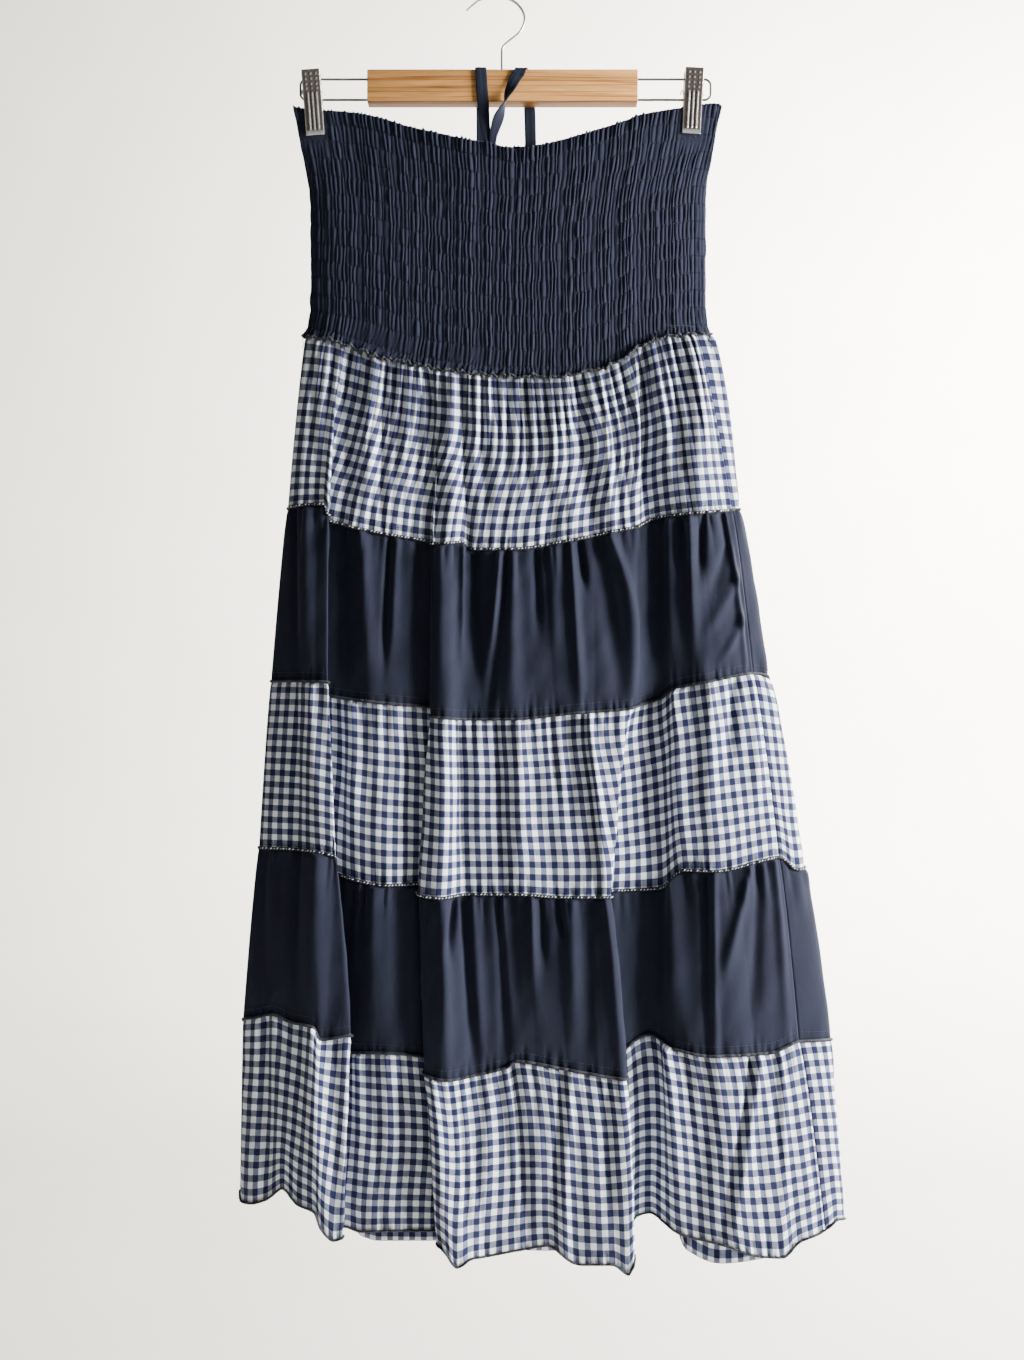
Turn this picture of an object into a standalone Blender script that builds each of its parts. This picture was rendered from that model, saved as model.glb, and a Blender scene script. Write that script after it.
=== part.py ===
"""A halter dress with a shirred bodice and five gathered tiers, hung from a wooden clip hanger.

The origin is the inside of the hook's top, where a rail or a nail holds it. X runs to the
wearer's left, Y away from the viewer, Z up. The cloth is a thin wall all round a flat tube.
"""
import math
from collections import namedtuple

import bmesh
import bpy
import numpy as np
from mathutils import Matrix, Vector

MM = 0.001

# The eye that the cloth's outline was read from, in millimetres
# A width or drop in the cloth's tables is the one seen in the hanger's plane from here
EYE_ACROSS = 16.0
EYE_DROP = 683.0
EYE_DISTANCE = 1335.0

# Cloth
WALL = 1.2
SEAM_GAP = 0.3
STEEP_SEAM = 1.6
BODICE_FOOT_MARGINS = 2.5
NEAR_PLACE = 0.01
FINE_PLACES = 600
CLOTH_SEED = 7

# Where each row of the bodice is, as a share of its height, and the section it takes
BODICE_LEVELS = ((0.0, 0), (0.13, 1), (0.45, 2), (0.87, 2), (1.0, 3))
TIER_COUNT = 5
FIRST_TIER_LEVEL = 3
FLARE = 0.8
TIER_SWELL = 2.5

# Folds round the tube, from the left side across the front, then back round the rear.
# Columns of "across" and "forward": top edge, under the clips, chest, waist, seams 1 to 4, hem.
# "steps" is the number of mesh columns from this fold to the next.
Fold = namedtuple("Fold", "name steps across forward")
FOLDS = (
    Fold("left side", 4, (-203, -197, -185, -190, -208, -225, -237, -253, -256),
         (0, 0, 0, 0, 0, 0, 0, 0, 0)),
    Fold("left panel", 4, (-181, -179, -170, -174, -191, -198, -199, -213, -213),
         (3, 3, 8, 8, 12, 14, 16, 18, 20)),
    Fold("first pleat edge", 2, (-156, -155, -151, -158, -168, -169, -161, -147, -155),
         (4, 4, 10, 10, 22, 26, 30, 32, 33)),
    Fold("first pleat under", 2, (-138, -137, -136, -148, -176, -178, -171, -158, -165),
         (5, 5, 11, 10, 13, 15, 18, 20, 21)),
    Fold("first pleat out", 4, (-118, -118, -118, -134, -163, -165, -158, -144, -150),
         (6, 7, 12, 11, 9, 9, 9, 10, 11)),
    Fold("middle left", 4, (-88, -88, -91, -104, -121, -113, -111, -103, -103),
         (7, 9, 13, 12, 18, 22, 24, 26, 26)),
    Fold("second pleat under", 2, (-66, -66, -69, -76, -60, -59, -69, -62, -52),
         (9, 10, 13, 12, 12, 13, 14, 15, 16)),
    Fold("second pleat edge", 2, (-48, -48, -51, -60, -65, -66, -78, -72, -59),
         (9.5, 11, 13.5, 12.5, 19, 22, 25, 28, 31)),
    Fold("second pleat ridge", 3, (-28, -28, -32, -44, -48, -48, -56, -50, -39),
         (10, 12, 14, 13, 23, 28, 32, 36, 40)),
    Fold("second pleat right", 4, (-8, -9, -14, -24, -29, -29, -28, -18, -12),
         (11, 12, 14, 13, 16, 18, 20, 25, 30)),
    Fold("centre", 5, (22, 20, 16, 12, 16, 16, 16, 15, 31),
         (11, 12, 14, 13, 20, 23, 26, 27, 28)),
    Fold("middle right", 5, (64, 62, 59, 60, 76, 79, 70, 70, 74),
         (10, 12, 14, 13, 20, 24, 28, 32, 34)),
    Fold("third pleat edge", 2, (109, 106, 102, 102, 130, 131, 113, 129, 136),
         (8, 10, 13, 12, 20, 25, 31, 37, 42)),
    Fold("third pleat under", 3, (130, 127, 121, 122, 144, 142, 107, 120, 128),
         (7, 9, 12, 11, 15, 16, 17, 20, 24)),
    Fold("third pleat valley", 5, (152, 149, 140, 141, 161, 164, 163, 154, 154),
         (5, 7, 11, 10, 9, 8, 8, 8, 8)),
    Fold("right panel", 5, (197, 194, 176, 172, 199, 210, 218, 216, 242),
         (3, 3, 8, 9, 22, 26, 29, 32, 34)),
    Fold("right seam", 2, (217, 212, 198, 200, 236, 257, 283, 303, 329),
         (1.5, 1.5, 4, 4, 10, 13, 15, 17, 18)),
    Fold("right side", 3, (225, 219, 209, 211.5, 241, 271, 307, 334, 343),
         (-0.5, -0.5, -1, -1, 0, 0, 0, 0, 0)),
    Fold("back right", 4, (196, 194, 179, 176, 196, 218, 240, 258, 266),
         (-3, -3, -8, -9, -12, -14, -15, -16, -17)),
    Fold("back first ridge", 3, (130, 130, 124, 120, 135, 150, 165, 175, 182),
         (-6, -7, -10, -10, -17, -20, -23, -26, -28)),
    Fold("back first valley", 4, (75, 75, 70, 66, 72, 80, 86, 92, 95),
         (-8, -9, -11, -11, -12, -13, -13, -14, -14)),
    Fold("back second ridge", 3, (14, 14, 12, 10, 10, 10, 12, 14, 14),
         (-8, -9, -11, -11, -18, -22, -25, -28, -31)),
    Fold("back second valley", 3, (-48, -48, -46, -48, -54, -60, -64, -68, -70),
         (-8, -9, -11, -11, -12, -13, -13, -14, -14)),
    Fold("back third ridge", 4, (-112, -112, -104, -108, -116, -124, -132, -140, -146),
         (-6, -7, -10, -10, -17, -20, -22, -25, -27)),
    Fold("back left", 4, (-179, -177, -160, -162, -176, -190, -200, -208, -212),
         (-3, -3, -8, -9, -11, -13, -14, -15, -16)),
)
FRONT_FOLDS = (0, 16)
BACK_FOLDS = (16, 25)

# How far each edge hangs below the hook: pairs of place round the tube, in folds, and drop
EDGE_DROPS = {
    0: ((0, 108), (0.3, 113), (1, 113), (2, 114), (3, 116), (4, 120), (5, 129), (6, 134), (7, 138),
        (8, 142), (9, 145), (10, 152), (11, 143), (12, 130), (13, 123), (14, 116), (15, 109),
        (16, 106), (17, 109), (18, 112), (19, 128), (20, 142), (21, 150), (22, 145), (23, 130),
        (24, 114), (25, 108)),
    3: ((0, 338), (1, 341.5), (2, 345), (3, 348.5), (4, 353.5), (5, 363.5), (6, 368), (7, 371),
        (8, 373.5), (9, 375.5), (10, 378.5), (11, 379.5), (12, 372.5), (13, 364), (14, 351),
        (15, 339.5), (16, 336), (17, 337), (18, 341), (19, 353), (20, 366), (21, 372), (22, 368),
        (23, 356), (24, 343), (25, 338)),
    4: ((0, 512), (1, 508), (1.7, 507), (2, 517), (3, 521), (4, 525), (5, 535), (6, 545), (7, 547),
        (8, 546), (8.8, 545), (9.2, 552), (10, 552), (11, 543), (12, 532), (13, 528), (14, 521),
        (15, 516), (16, 513), (17, 512), (18, 516), (19, 524), (20, 530), (21, 533), (22, 530),
        (23, 524), (24, 516), (25, 512)),
    5: ((0, 684), (1, 684), (2, 685), (3, 692), (4, 699), (5, 706), (6, 711), (7, 719), (8, 721),
        (9, 722), (10, 722), (11, 716), (12, 712), (13, 708), (14, 702), (14.4, 691), (15, 685),
        (16, 676), (17, 683), (18, 688), (19, 697), (20, 703), (21, 706), (22, 704), (23, 697),
        (24, 689), (25, 684)),
    6: ((0, 850), (1, 852), (2, 859), (3, 868), (4, 877), (5, 888), (6, 886), (7, 897), (8, 901),
        (9, 897), (10, 897), (11, 900), (12, 900), (13, 894), (14, 891), (14.5, 873), (15, 874),
        (16, 860), (16.4, 872), (17, 869), (18, 872), (19, 880), (20, 886), (21, 888), (22, 886),
        (23, 878), (24, 864), (25, 850)),
    7: ((0, 1022), (0.6, 1021), (1, 1017), (1.5, 1029), (1.6, 1038), (2, 1038), (3, 1048),
        (4, 1055), (5, 1056), (6, 1062), (7, 1076), (8, 1083), (9, 1077), (9.9, 1070), (10.1, 1064),
        (11, 1072), (12, 1082), (13, 1064), (14, 1037), (14.5, 1052), (15, 1059), (15.6, 1056),
        (16, 1044), (17, 1042), (18, 1046), (19, 1056), (20, 1062), (21, 1064), (22, 1062),
        (23, 1052), (24, 1037), (25, 1022)),
    8: ((0, 1193), (0.15, 1204), (0.45, 1206), (0.7, 1202), (1, 1191), (1.25, 1207), (1.5, 1215),
        (1.6, 1232), (1.8, 1243), (2, 1241), (3, 1236), (4, 1229), (4.4, 1234), (5, 1233),
        (6, 1233), (7, 1246), (7.5, 1254), (8, 1270), (8.6, 1261), (9, 1259), (10, 1251),
        (10.5, 1248), (11.2, 1267), (11.6, 1267), (11.9, 1277), (12, 1271), (13, 1240), (14, 1215),
        (14.4, 1236), (14.85, 1248), (15.25, 1259), (15.45, 1260), (15.65, 1244), (16, 1233),
        (16.3, 1222), (17, 1221), (17.5, 1240), (18, 1261), (18.5, 1266), (19, 1250), (20, 1250),
        (20.5, 1253), (21, 1252), (22, 1243), (23, 1240), (24, 1224), (25, 1193)),
}

# Gathers under each seam
TIER_ROWS = (0.0, 0.1, 0.32, 0.65, 1.0)
GATHER_HEIGHT = 2.6
GATHER_SPREAD = (0.45, 1.0)
GATHER_STEPS = (2, 3, 3, 3, 3)
GATHER_TOP = 0.1
GATHER_FADE = 1.2

# Shirring on the bodice
SHIRRING_ROWS = 13
FIRST_ROW_DROP = 14.0
SHIRRING_PITCH = 17.3
BODICE_HEIGHT = 230.0
FRONT_PUCKER_COLUMNS = 48
BACK_PUCKER_COLUMNS = 34
PUCKER_HIGH = (1.0, 1.7)
PUCKER_LOW = 0.3
STITCH_HEIGHT = 0.15
# Rows of the plain inside, close together where the depth changes fast
PLAIN_SHARES = (0.0, 0.13, 0.24, 0.35, 0.45, 0.87, 1.0)
# The clips press the puckers flat: reach beside the plate, and the drop where it ends and its fade
PRESS_REACH = 8.0
PRESS_DROP = 146.0
PRESS_FADE = 12.0
# Puckers and gathers die away over this many columns towards the side seams
SEAM_COLUMNS = 2.0
FLAT_ANGLE = math.radians(8)

# Ties: flat turned tubes. Rows: across, drop, forward, turn in degrees, width
TIE_THICKNESS = 1.6
TIE_STEPS = 2
TIE_SWELL = (0.55, 1.0, 0.55)
TieRow = namedtuple("TieRow", "across drop forward turn width")
LEFT_TIE = (
    TieRow(-9.6, 166, 8.3, 0, 5.5),
    TieRow(-9.6, 153, 8.3, 0, 6.0),
    TieRow(-10.2, 143, 8.8, 0, 8.0),
    TieRow(-11.2, 130, 9.8, 0, 10.5),
    TieRow(-12.4, 114, 9.6, 0, 11.5),
    TieRow(-13.8, 96, 9.3, 0, 11.5),
    TieRow(-14.8, 79, 9.2, 0, 11.5),
    TieRow(-15.2, 74.4, 7.4, 0, 11.5),
    TieRow(-15.2, 73.9, 0.0, 0, 11.5),
    TieRow(-15.0, 74.4, -7.4, 0, 11.5),
    TieRow(-14.8, 79, -9.2, 0, 11.5),
    TieRow(-14.4, 105, -9.1, 0, 11.5),
    TieRow(-14.0, 135, -3.2, 0, 11.5),
    TieRow(-14.0, 165, 0.0, 0, 11.5),
    TieRow(-15.0, 230, 1.0, 0, 11.5),
    TieRow(-17.0, 300, 0.5, 0, 11.5),
    TieRow(-16.0, 380, 0.0, 0, 11.5),
)
RIGHT_TIE = (
    TieRow(-2.9, 168, 8.3, 0, 5.5),
    TieRow(-2.8, 155, 8.3, 0, 6.0),
    TieRow(-0.8, 143, 9.4, 5, 8.0),
    TieRow(3.4, 127, 12.5, 25, 11.5),
    TieRow(8.8, 113, 14.6, 90, 11.5),
    TieRow(13.4, 99, 12.6, 150, 11.5),
    TieRow(19.5, 85, 9.5, 180, 11.5),
    TieRow(23.4, 79, 9.2, 180, 11.5),
    TieRow(25.0, 74.4, 7.4, 180, 11.5),
    TieRow(27.5, 73.9, 0.0, 180, 11.5),
    TieRow(29.5, 74.4, -7.4, 180, 11.5),
    TieRow(31.0, 79, -9.2, 180, 11.5),
    TieRow(33.5, 105, -9.1, 180, 11.5),
    TieRow(34.4, 135, -3.2, 180, 11.5),
    TieRow(34.6, 165, 0.0, 180, 11.5),
    TieRow(34.0, 230, 1.0, 180, 11.5),
    TieRow(32.0, 300, 0.5, 180, 11.5),
    TieRow(33.0, 395, 0.0, 180, 11.5),
)

# Hanger
BAR_LEFT = -128.2
BAR_RIGHT = 141.3
BAR_TOP_DROP = 75.4
BAR_BOTTOM_DROP = 107.7
BAR_THICKNESS = 15.0
BAR_ROUNDING = 1.2
HOOK_WIRE = 2.7
LOOP_WIRE = 2.3
LOOP_TOP_DROP = 82.5
LOOP_BOTTOM_DROP = 103.0
LOOP_LEFT_END = -195.5
LOOP_RIGHT_END = 214.5
LOOP_CORNER = 6.0
LOOP_STEPS = 4
# Hook wire's middle line, from its free tip over the top to the bar: across, drop
HOOK_ROUTE = ((-29.0, 14.0), (-22.5, 8.0), (-15.5, 3.0), (0.0, -1.35), (15.0, 3.0), (24.5, 10.5),
              (28.8, 21.5), (24.2, 34.5), (12.0, 45.0), (6.6, 51.0), (6.0, 60.0), (6.0, 75.1))
HOOK_POINTS = 23

# Clips: side profile of a plate as drop from its top and distance from the middle
CLIP_WIDTH = 18.5
CLIP_SHEET = 1.0
CLIP_PROFILE = ((0.0, 7.2), (4.0, 6.8), (14.0, 5.5), (22.0, 5.0), (34.0, 4.8), (46.0, 4.5),
                (58.0, 4.5), (62.0, 4.6), (65.0, 6.0))
RIB_HEIGHT = 0.8
RIB_TOP = 22.0
RIB_BOTTOM = 60.0
RIB_PATTERN = (0, 1, 1, 0, 1, 1, 0, 1, 1, 0)
SPRING_WIDTH = 12.0
SPRING_ROUNDING = 2.5
Clip = namedtuple("Clip", "name top_across bottom_across top_drop")
CLIPS = (Clip("clip_left", -184.7, -180.0, 75.5), Clip("clip_right", 198.0, 194.5, 73.8))

Finish = namedtuple("Finish", "colour roughness metallic")
NAVY = Finish((0.018, 0.024, 0.052), 0.85, 0.0)
GINGHAM = Finish((0.32, 0.34, 0.42), 0.85, 0.0)
WOOD = Finish((0.50, 0.27, 0.11), 0.55, 0.0)
CHROME = Finish((0.75, 0.75, 0.76), 0.2, 1.0)
TIER_FINISHES = (GINGHAM, NAVY, GINGHAM, NAVY, GINGHAM)


def place_point(across, forward, drop):
    """A point of the hanger's frame, in millimetres, as a place in metres."""
    return Vector((across * MM, -forward * MM, -drop * MM))


def settle(across, forward, drop):
    """Bring a point seen in the hanger's plane to its own depth, along the eye's line to it."""
    nearer = 1.0 - forward / EYE_DISTANCE
    return (EYE_ACROSS + (across - EYE_ACROSS) * nearer, forward,
            EYE_DROP + (drop - EYE_DROP) * nearer)


def monotone(knots, values, at):
    """Smooth curve through values at rising knots, which never swings past them."""
    knots = np.asarray(knots, dtype=float)
    values = np.asarray(values, dtype=float).reshape(len(knots), -1)
    at = np.atleast_1d(np.asarray(at, dtype=float))
    step = np.diff(knots)[:, None]
    rise = np.diff(values, axis=0) / step
    slope = np.zeros_like(values)
    slope[0] = rise[0]
    slope[-1] = rise[-1]
    before, after = rise[:-1], rise[1:]
    same_way = before * after > 0
    total = np.where(same_way, before + after, 1.0)
    slope[1:-1] = np.where(same_way, 2 * before * after / total, 0.0)
    index = np.clip(np.searchsorted(knots, at, side="right") - 1, 0, len(knots) - 2)
    share = ((at - knots[index])[:, None]) / step[index]
    squared, cubed = share ** 2, share ** 3
    return ((2 * cubed - 3 * squared + 1) * values[index] + (3 * squared - 2 * cubed) * values[index + 1]
            + ((cubed - 2 * squared + share) * slope[index] + (cubed - squared) * slope[index + 1])
            * step[index])


def ring_curve(keys, places):
    """Smooth closed curve through a ring of keys, at places counted in keys."""
    count = len(keys)
    index = np.floor(places).astype(int)
    share = (places - index)[:, None]
    before, start, end, after = (keys[(index + shift) % count] for shift in (-1, 0, 1, 2))
    return 0.5 * (2 * start + (end - before) * share
                  + (2 * before - 5 * start + 4 * end - after) * share ** 2
                  + (3 * start - before - 3 * end + after) * share ** 3)


def open_curve(keys, places):
    """Smooth curve through an open row of keys, at places counted in keys."""
    keys = np.asarray(keys, dtype=float)
    padded = np.vstack((2 * keys[0] - keys[1], keys, 2 * keys[-1] - keys[-2]))
    index = np.clip(np.floor(places).astype(int), 0, len(keys) - 2)
    share = (places - index)[:, None]
    before, start, end, after = (padded[index + shift] for shift in (0, 1, 2, 3))
    return 0.5 * (2 * start + (end - before) * share
                  + (2 * before - 5 * start + 4 * end - after) * share ** 2
                  + (3 * start - before - 3 * end + after) * share ** 3)


def edge_drop(level, places):
    """Drop of one edge or seam round the tube."""
    table = np.array(EDGE_DROPS[level], dtype=float)
    return monotone(table[:, 0], table[:, 1], places)[:, 0]


def fold_keys(level):
    """Across and forward of every fold at one level."""
    return np.array([(fold.across[level], fold.forward[level]) for fold in FOLDS], dtype=float)


def ring_outward(keys, places):
    """Normal and direction of the ring's smooth curve at given places."""
    along = ring_curve(keys, places + NEAR_PLACE) - ring_curve(keys, places - NEAR_PLACE)
    along /= np.linalg.norm(along, axis=1)[:, None]
    return np.column_stack((-along[:, 1], along[:, 0])), along


def bodice_keys(share):
    """Folds of the bodice at a share of its height."""
    shares = [row[0] for row in BODICE_LEVELS]
    levels = np.array([fold_keys(row[1]).ravel() for row in BODICE_LEVELS])
    return monotone(shares, levels, share)[0].reshape(-1, 2)


def tier_keys(tier, share):
    """Folds of a tier at a share of its height, with the cloth swelling between its seams."""
    level = FIRST_TIER_LEVEL + tier
    upper, lower = fold_keys(level), fold_keys(level + 1)
    keys = upper + (lower - upper) * share ** FLARE
    keys[:, 1] += np.sign(keys[:, 1]) * TIER_SWELL * math.sin(math.pi * share)
    return keys


def even_places(first, last, count):
    """Places that part the chest's section into equal lengths."""
    fine = np.linspace(first, last, FINE_PLACES)
    plan = ring_curve(fold_keys(2), fine)
    length = np.concatenate(((0.0,), np.cumsum(np.linalg.norm(np.diff(plan, axis=0), axis=1))))
    return np.interp(np.linspace(0, length[-1], count + 1), length, fine)


def fold_places(first, last):
    """Places of the skirt's mesh columns: each fold's own number of steps to the next."""
    places = [first]
    for index in range(first, last):
        steps = FOLDS[index % len(FOLDS)].steps
        places += [index + (step + 1) / steps for step in range(steps)]
    return np.array(places, dtype=float)


def row_points(keys, places, drops, lift):
    """One row of a wall in metres: points moved out by lift, less the side seams' gap."""
    plan = ring_curve(keys, places)
    normal, along = ring_outward(keys, places)
    plan = plan + normal * lift[:, None]
    plan[0] += along[0] * SEAM_GAP / 2
    plan[-1] -= along[-1] * SEAM_GAP / 2
    across, forward, drop = settle(plan[:, 0], plan[:, 1], drops)
    return [place_point(*point) for point in zip(across, forward, drop)]


def seam_margin(level, places):
    """Half the seam's gap, measured down: wider where the seam runs steeply round a fold."""
    steps = np.linalg.norm(np.diff(ring_curve(fold_keys(level), places), axis=0), axis=1)
    slopes = np.abs(np.diff(edge_drop(level, places)) / steps)
    steepest = np.maximum(np.append(slopes, 0.0), np.insert(slopes, 0, 0.0))
    return SEAM_GAP / 2 * np.sqrt(1.0 + (STEEP_SEAM * steepest) ** 2)


def make_material(name, finish):
    """Principled material with the photo's colour, roughness and metallic value."""
    material = bpy.data.materials.new(name)
    material.use_nodes = True
    shader = material.node_tree.nodes["Principled BSDF"]
    shader.inputs["Base Color"].default_value = (*finish.colour, 1.0)
    shader.inputs["Roughness"].default_value = finish.roughness
    shader.inputs["Metallic"].default_value = finish.metallic
    return material


def add_object(name, data, finish):
    """Link an object with its own material."""
    thing = bpy.data.objects.new(name, data)
    data.materials.append(make_material(name + "_finish", finish))
    bpy.context.collection.objects.link(thing)
    return thing


def finish_mesh(name, shape, finish):
    """Turn a bmesh into a smooth-shaded object with its faces outward."""
    bmesh.ops.recalc_face_normals(shape, faces=shape.faces)
    if shape.calc_volume(signed=True) < 0:
        bmesh.ops.reverse_faces(shape, faces=shape.faces)
    mesh = bpy.data.meshes.new(name)
    shape.to_mesh(mesh)
    shape.free()
    mesh.shade_smooth()
    mesh.set_sharp_from_angle(angle=FLAT_ANGLE)
    return add_object(name, mesh, finish)


def sheet_grid(shape, rows):
    """Add a grid to a bmesh and lay it on rows of points."""
    row_steps, column_steps = len(rows) - 1, len(rows[0]) - 1
    made = bmesh.ops.create_grid(shape, x_segments=column_steps, y_segments=row_steps, size=1.0)
    for vert in made["verts"]:
        column = round((vert.co.x + 1) / 2 * column_steps)
        row = round((vert.co.y + 1) / 2 * row_steps)
        vert.co = rows[row][column]
    return made["verts"]


def thick_sheet(name, outer, inner, finish):
    """Wall between two equal grids of points: the outer one is extruded to the inner one."""
    shape = bmesh.new()
    verts = sheet_grid(shape, outer)
    shape.verts.index_update()
    targets = {}
    row_steps, column_steps = len(outer) - 1, len(outer[0]) - 1
    for row in range(row_steps + 1):
        for column in range(column_steps + 1):
            targets[tuple(round(value, 7) for value in outer[row][column])] = inner[row][column]
    made = bmesh.ops.extrude_face_region(shape, geom=shape.faces[:])
    for item in made["geom"]:
        if isinstance(item, bmesh.types.BMVert):
            item.co = targets[nearest_key(item.co, targets)]
    bmesh.ops.triangulate(shape, faces=shape.faces[:], quad_method="SHORT_EDGE")
    return finish_mesh(name, shape, finish)


def nearest_key(point, targets):
    """Key of the outer point that a fresh extruded point still lies on."""
    key = tuple(round(value, 7) for value in point)
    if key in targets:
        return key
    return min(targets, key=lambda other: (Vector(other) - point).length_squared)


def gather_waves(tier, places, share):
    """Height of a tier's gathers: strongest just under its seam, gone at its foot."""
    steps = np.arange(len(places))
    period = GATHER_STEPS[tier]
    random = np.random.default_rng(CLOTH_SEED + tier)
    strength = random.uniform(*GATHER_SPREAD, len(places) // period + 1)[steps // period]
    wave = np.where(steps % period == period - 1, -1.0, 1.0)
    rising = min(share / GATHER_TOP, 1.0)
    fading = (1.0 - share) ** GATHER_FADE
    return wave * strength * seam_fade(len(places)) * GATHER_HEIGHT / 2 * rising * fading


def build_tier(tier):
    """Front and back panel of one tier."""
    level = FIRST_TIER_LEVEL + tier
    for side, (first, last) in (("front", FRONT_FOLDS), ("back", BACK_FOLDS)):
        places = fold_places(first, last)
        upper = edge_drop(level, places) + seam_margin(level, places)
        lower = edge_drop(level + 1, places) - seam_margin(level + 1, places)
        drops = [upper + (lower - upper) * share for share in TIER_ROWS]
        outer, inner = [], []
        for share, row_drops in zip(TIER_ROWS, drops):
            keys = tier_keys(tier, share)
            waves = gather_waves(tier, places, share)
            outer.append(row_points(keys, places, row_drops, waves))
            inner.append(row_points(keys, places, row_drops, waves - WALL))
        thick_sheet(f"tier_{tier + 1}_{side}", outer, inner, TIER_FINISHES[tier])


def shirring_shares():
    """Rows of the bodice's outside: top edge, each stitched row, the puff between, lower edge."""
    stitched = [(FIRST_ROW_DROP + SHIRRING_PITCH * row) / BODICE_HEIGHT for row in range(SHIRRING_ROWS)]
    shares = [0.0]
    kinds = ["frill"]
    for row, share in enumerate(stitched):
        if row:
            shares.append((stitched[row - 1] + share) / 2)
            kinds.append("puff")
        shares.append(share)
        kinds.append("stitched")
    return shares + [1.0], kinds + ["stitched"]


def clip_press(across, drop):
    """How much of the puckers is left under the clips, which press them flat."""
    left = np.ones(len(across))
    for clip in CLIPS:
        middle = (clip.top_across + clip.bottom_across) / 2
        beside = np.clip((np.abs(across - middle) - CLIP_WIDTH / 2) / PRESS_REACH, 0.0, 1.0)
        below = np.clip((drop - PRESS_DROP) / PRESS_FADE, 0.0, 1.0)
        left = np.minimum(left, np.maximum(beside, below))
    return left


def seam_fade(count):
    """One over a row's middle, falling to nothing at its two side seams."""
    steps = np.arange(count)
    return np.clip(np.minimum(steps, steps[::-1]) / SEAM_COLUMNS, 0.0, 1.0)


def pucker_heights(kind, row, count, random):
    """Relief of one row of puckers, staggered from row to row."""
    heights = np.full(count + 1, STITCH_HEIGHT)
    if kind == "stitched":
        return heights
    odd = (np.arange(count + 1) + row // 2) % 2
    high = random.uniform(*PUCKER_HIGH, count + 1)
    return np.where(odd == 1, high, PUCKER_LOW)


def build_bodice():
    """Front and back of the shirred tube: puckers outside, plain inside."""
    shares, kinds = shirring_shares()
    random = np.random.default_rng(CLOTH_SEED)
    panels = (("front", FRONT_FOLDS, FRONT_PUCKER_COLUMNS), ("back", BACK_FOLDS, BACK_PUCKER_COLUMNS))
    for side, (first, last), columns in panels:
        places = even_places(first, last, columns)
        outer = []
        for row, (share, kind) in enumerate(zip(shares, kinds)):
            outer.append(bodice_row(places, share, pucker_heights(kind, row, columns, random)))
        inner = [bodice_row(places, share, None) for share in PLAIN_SHARES]
        shape = bmesh.new()
        sheet_grid(shape, outer)
        sheet_grid(shape, inner)
        rims = [edge for edge in shape.edges if edge.is_boundary]
        bmesh.ops.bridge_loops(shape, edges=rims)
        finish_mesh(f"bodice_{side}", shape, NAVY)


def bodice_row(places, share, heights):
    """One row of the bodice; with no heights it is a row of the plain inside."""
    keys = bodice_keys(share)
    top, waist = edge_drop(0, places), edge_drop(FIRST_TIER_LEVEL, places)
    foot = waist - BODICE_FOOT_MARGINS * seam_margin(FIRST_TIER_LEVEL, places)
    drops = top + (foot - top) * share
    if heights is None:
        return row_points(keys, places, drops, np.full(len(places), -WALL))
    pressed = clip_press(ring_curve(keys, places)[:, 0], drops)
    return row_points(keys, places, drops, heights * pressed * seam_fade(len(places)))


def build_tie(name, table):
    """A flat tube along its route, turned about it as the table says."""
    keys = np.array(table, dtype=float)
    places = np.linspace(0, len(keys) - 1, (len(keys) - 1) * TIE_STEPS + 1)
    rows = open_curve(keys, places)
    middles = [place_point(row[0], row[2], row[1]) for row in rows]
    outer, inner = [], []
    for index, row in enumerate(rows):
        ahead = middles[min(index + 1, len(rows) - 1)] - middles[max(index - 1, 0)]
        ahead.normalize()
        side = Vector((1.0, 0.0, 0.0))
        side = (side - ahead * side.dot(ahead)).normalized()
        side = Matrix.Rotation(math.radians(row[3]), 3, ahead) @ side
        face = side.cross(ahead)
        half_width, half_thick = row[4] / 2 * MM, TIE_THICKNESS / 2 * MM
        spread = [middles[index] + side * half_width * share for share in (-1.0, 0.0, 1.0)]
        outer.append([point + face * half_thick * share for point, share in zip(spread, TIE_SWELL)])
        inner.append([point - face * half_thick * share for point, share in zip(spread, TIE_SWELL)])
    thick_sheet(name, outer, inner, NAVY)


def build_wire(name, points, thickness):
    """A round wire along points, with filled ends."""
    curve = bpy.data.curves.new(name, "CURVE")
    curve.dimensions = "3D"
    curve.bevel_depth = thickness / 2 * MM
    curve.bevel_resolution = 2
    curve.use_fill_caps = True
    spline = curve.splines.new("POLY")
    spline.points.add(len(points) - 1)
    for target, point in zip(spline.points, points):
        target.co = (*point, 1.0)
    return add_object(name, curve, CHROME)


def build_hook():
    """Wire hook whose shank stands on the bar."""
    places = np.linspace(0, len(HOOK_ROUTE) - 1, HOOK_POINTS)
    route = open_curve(HOOK_ROUTE, places)
    build_wire("hanger_hook", [place_point(across, 0.0, drop) for across, drop in route], HOOK_WIRE)


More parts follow.
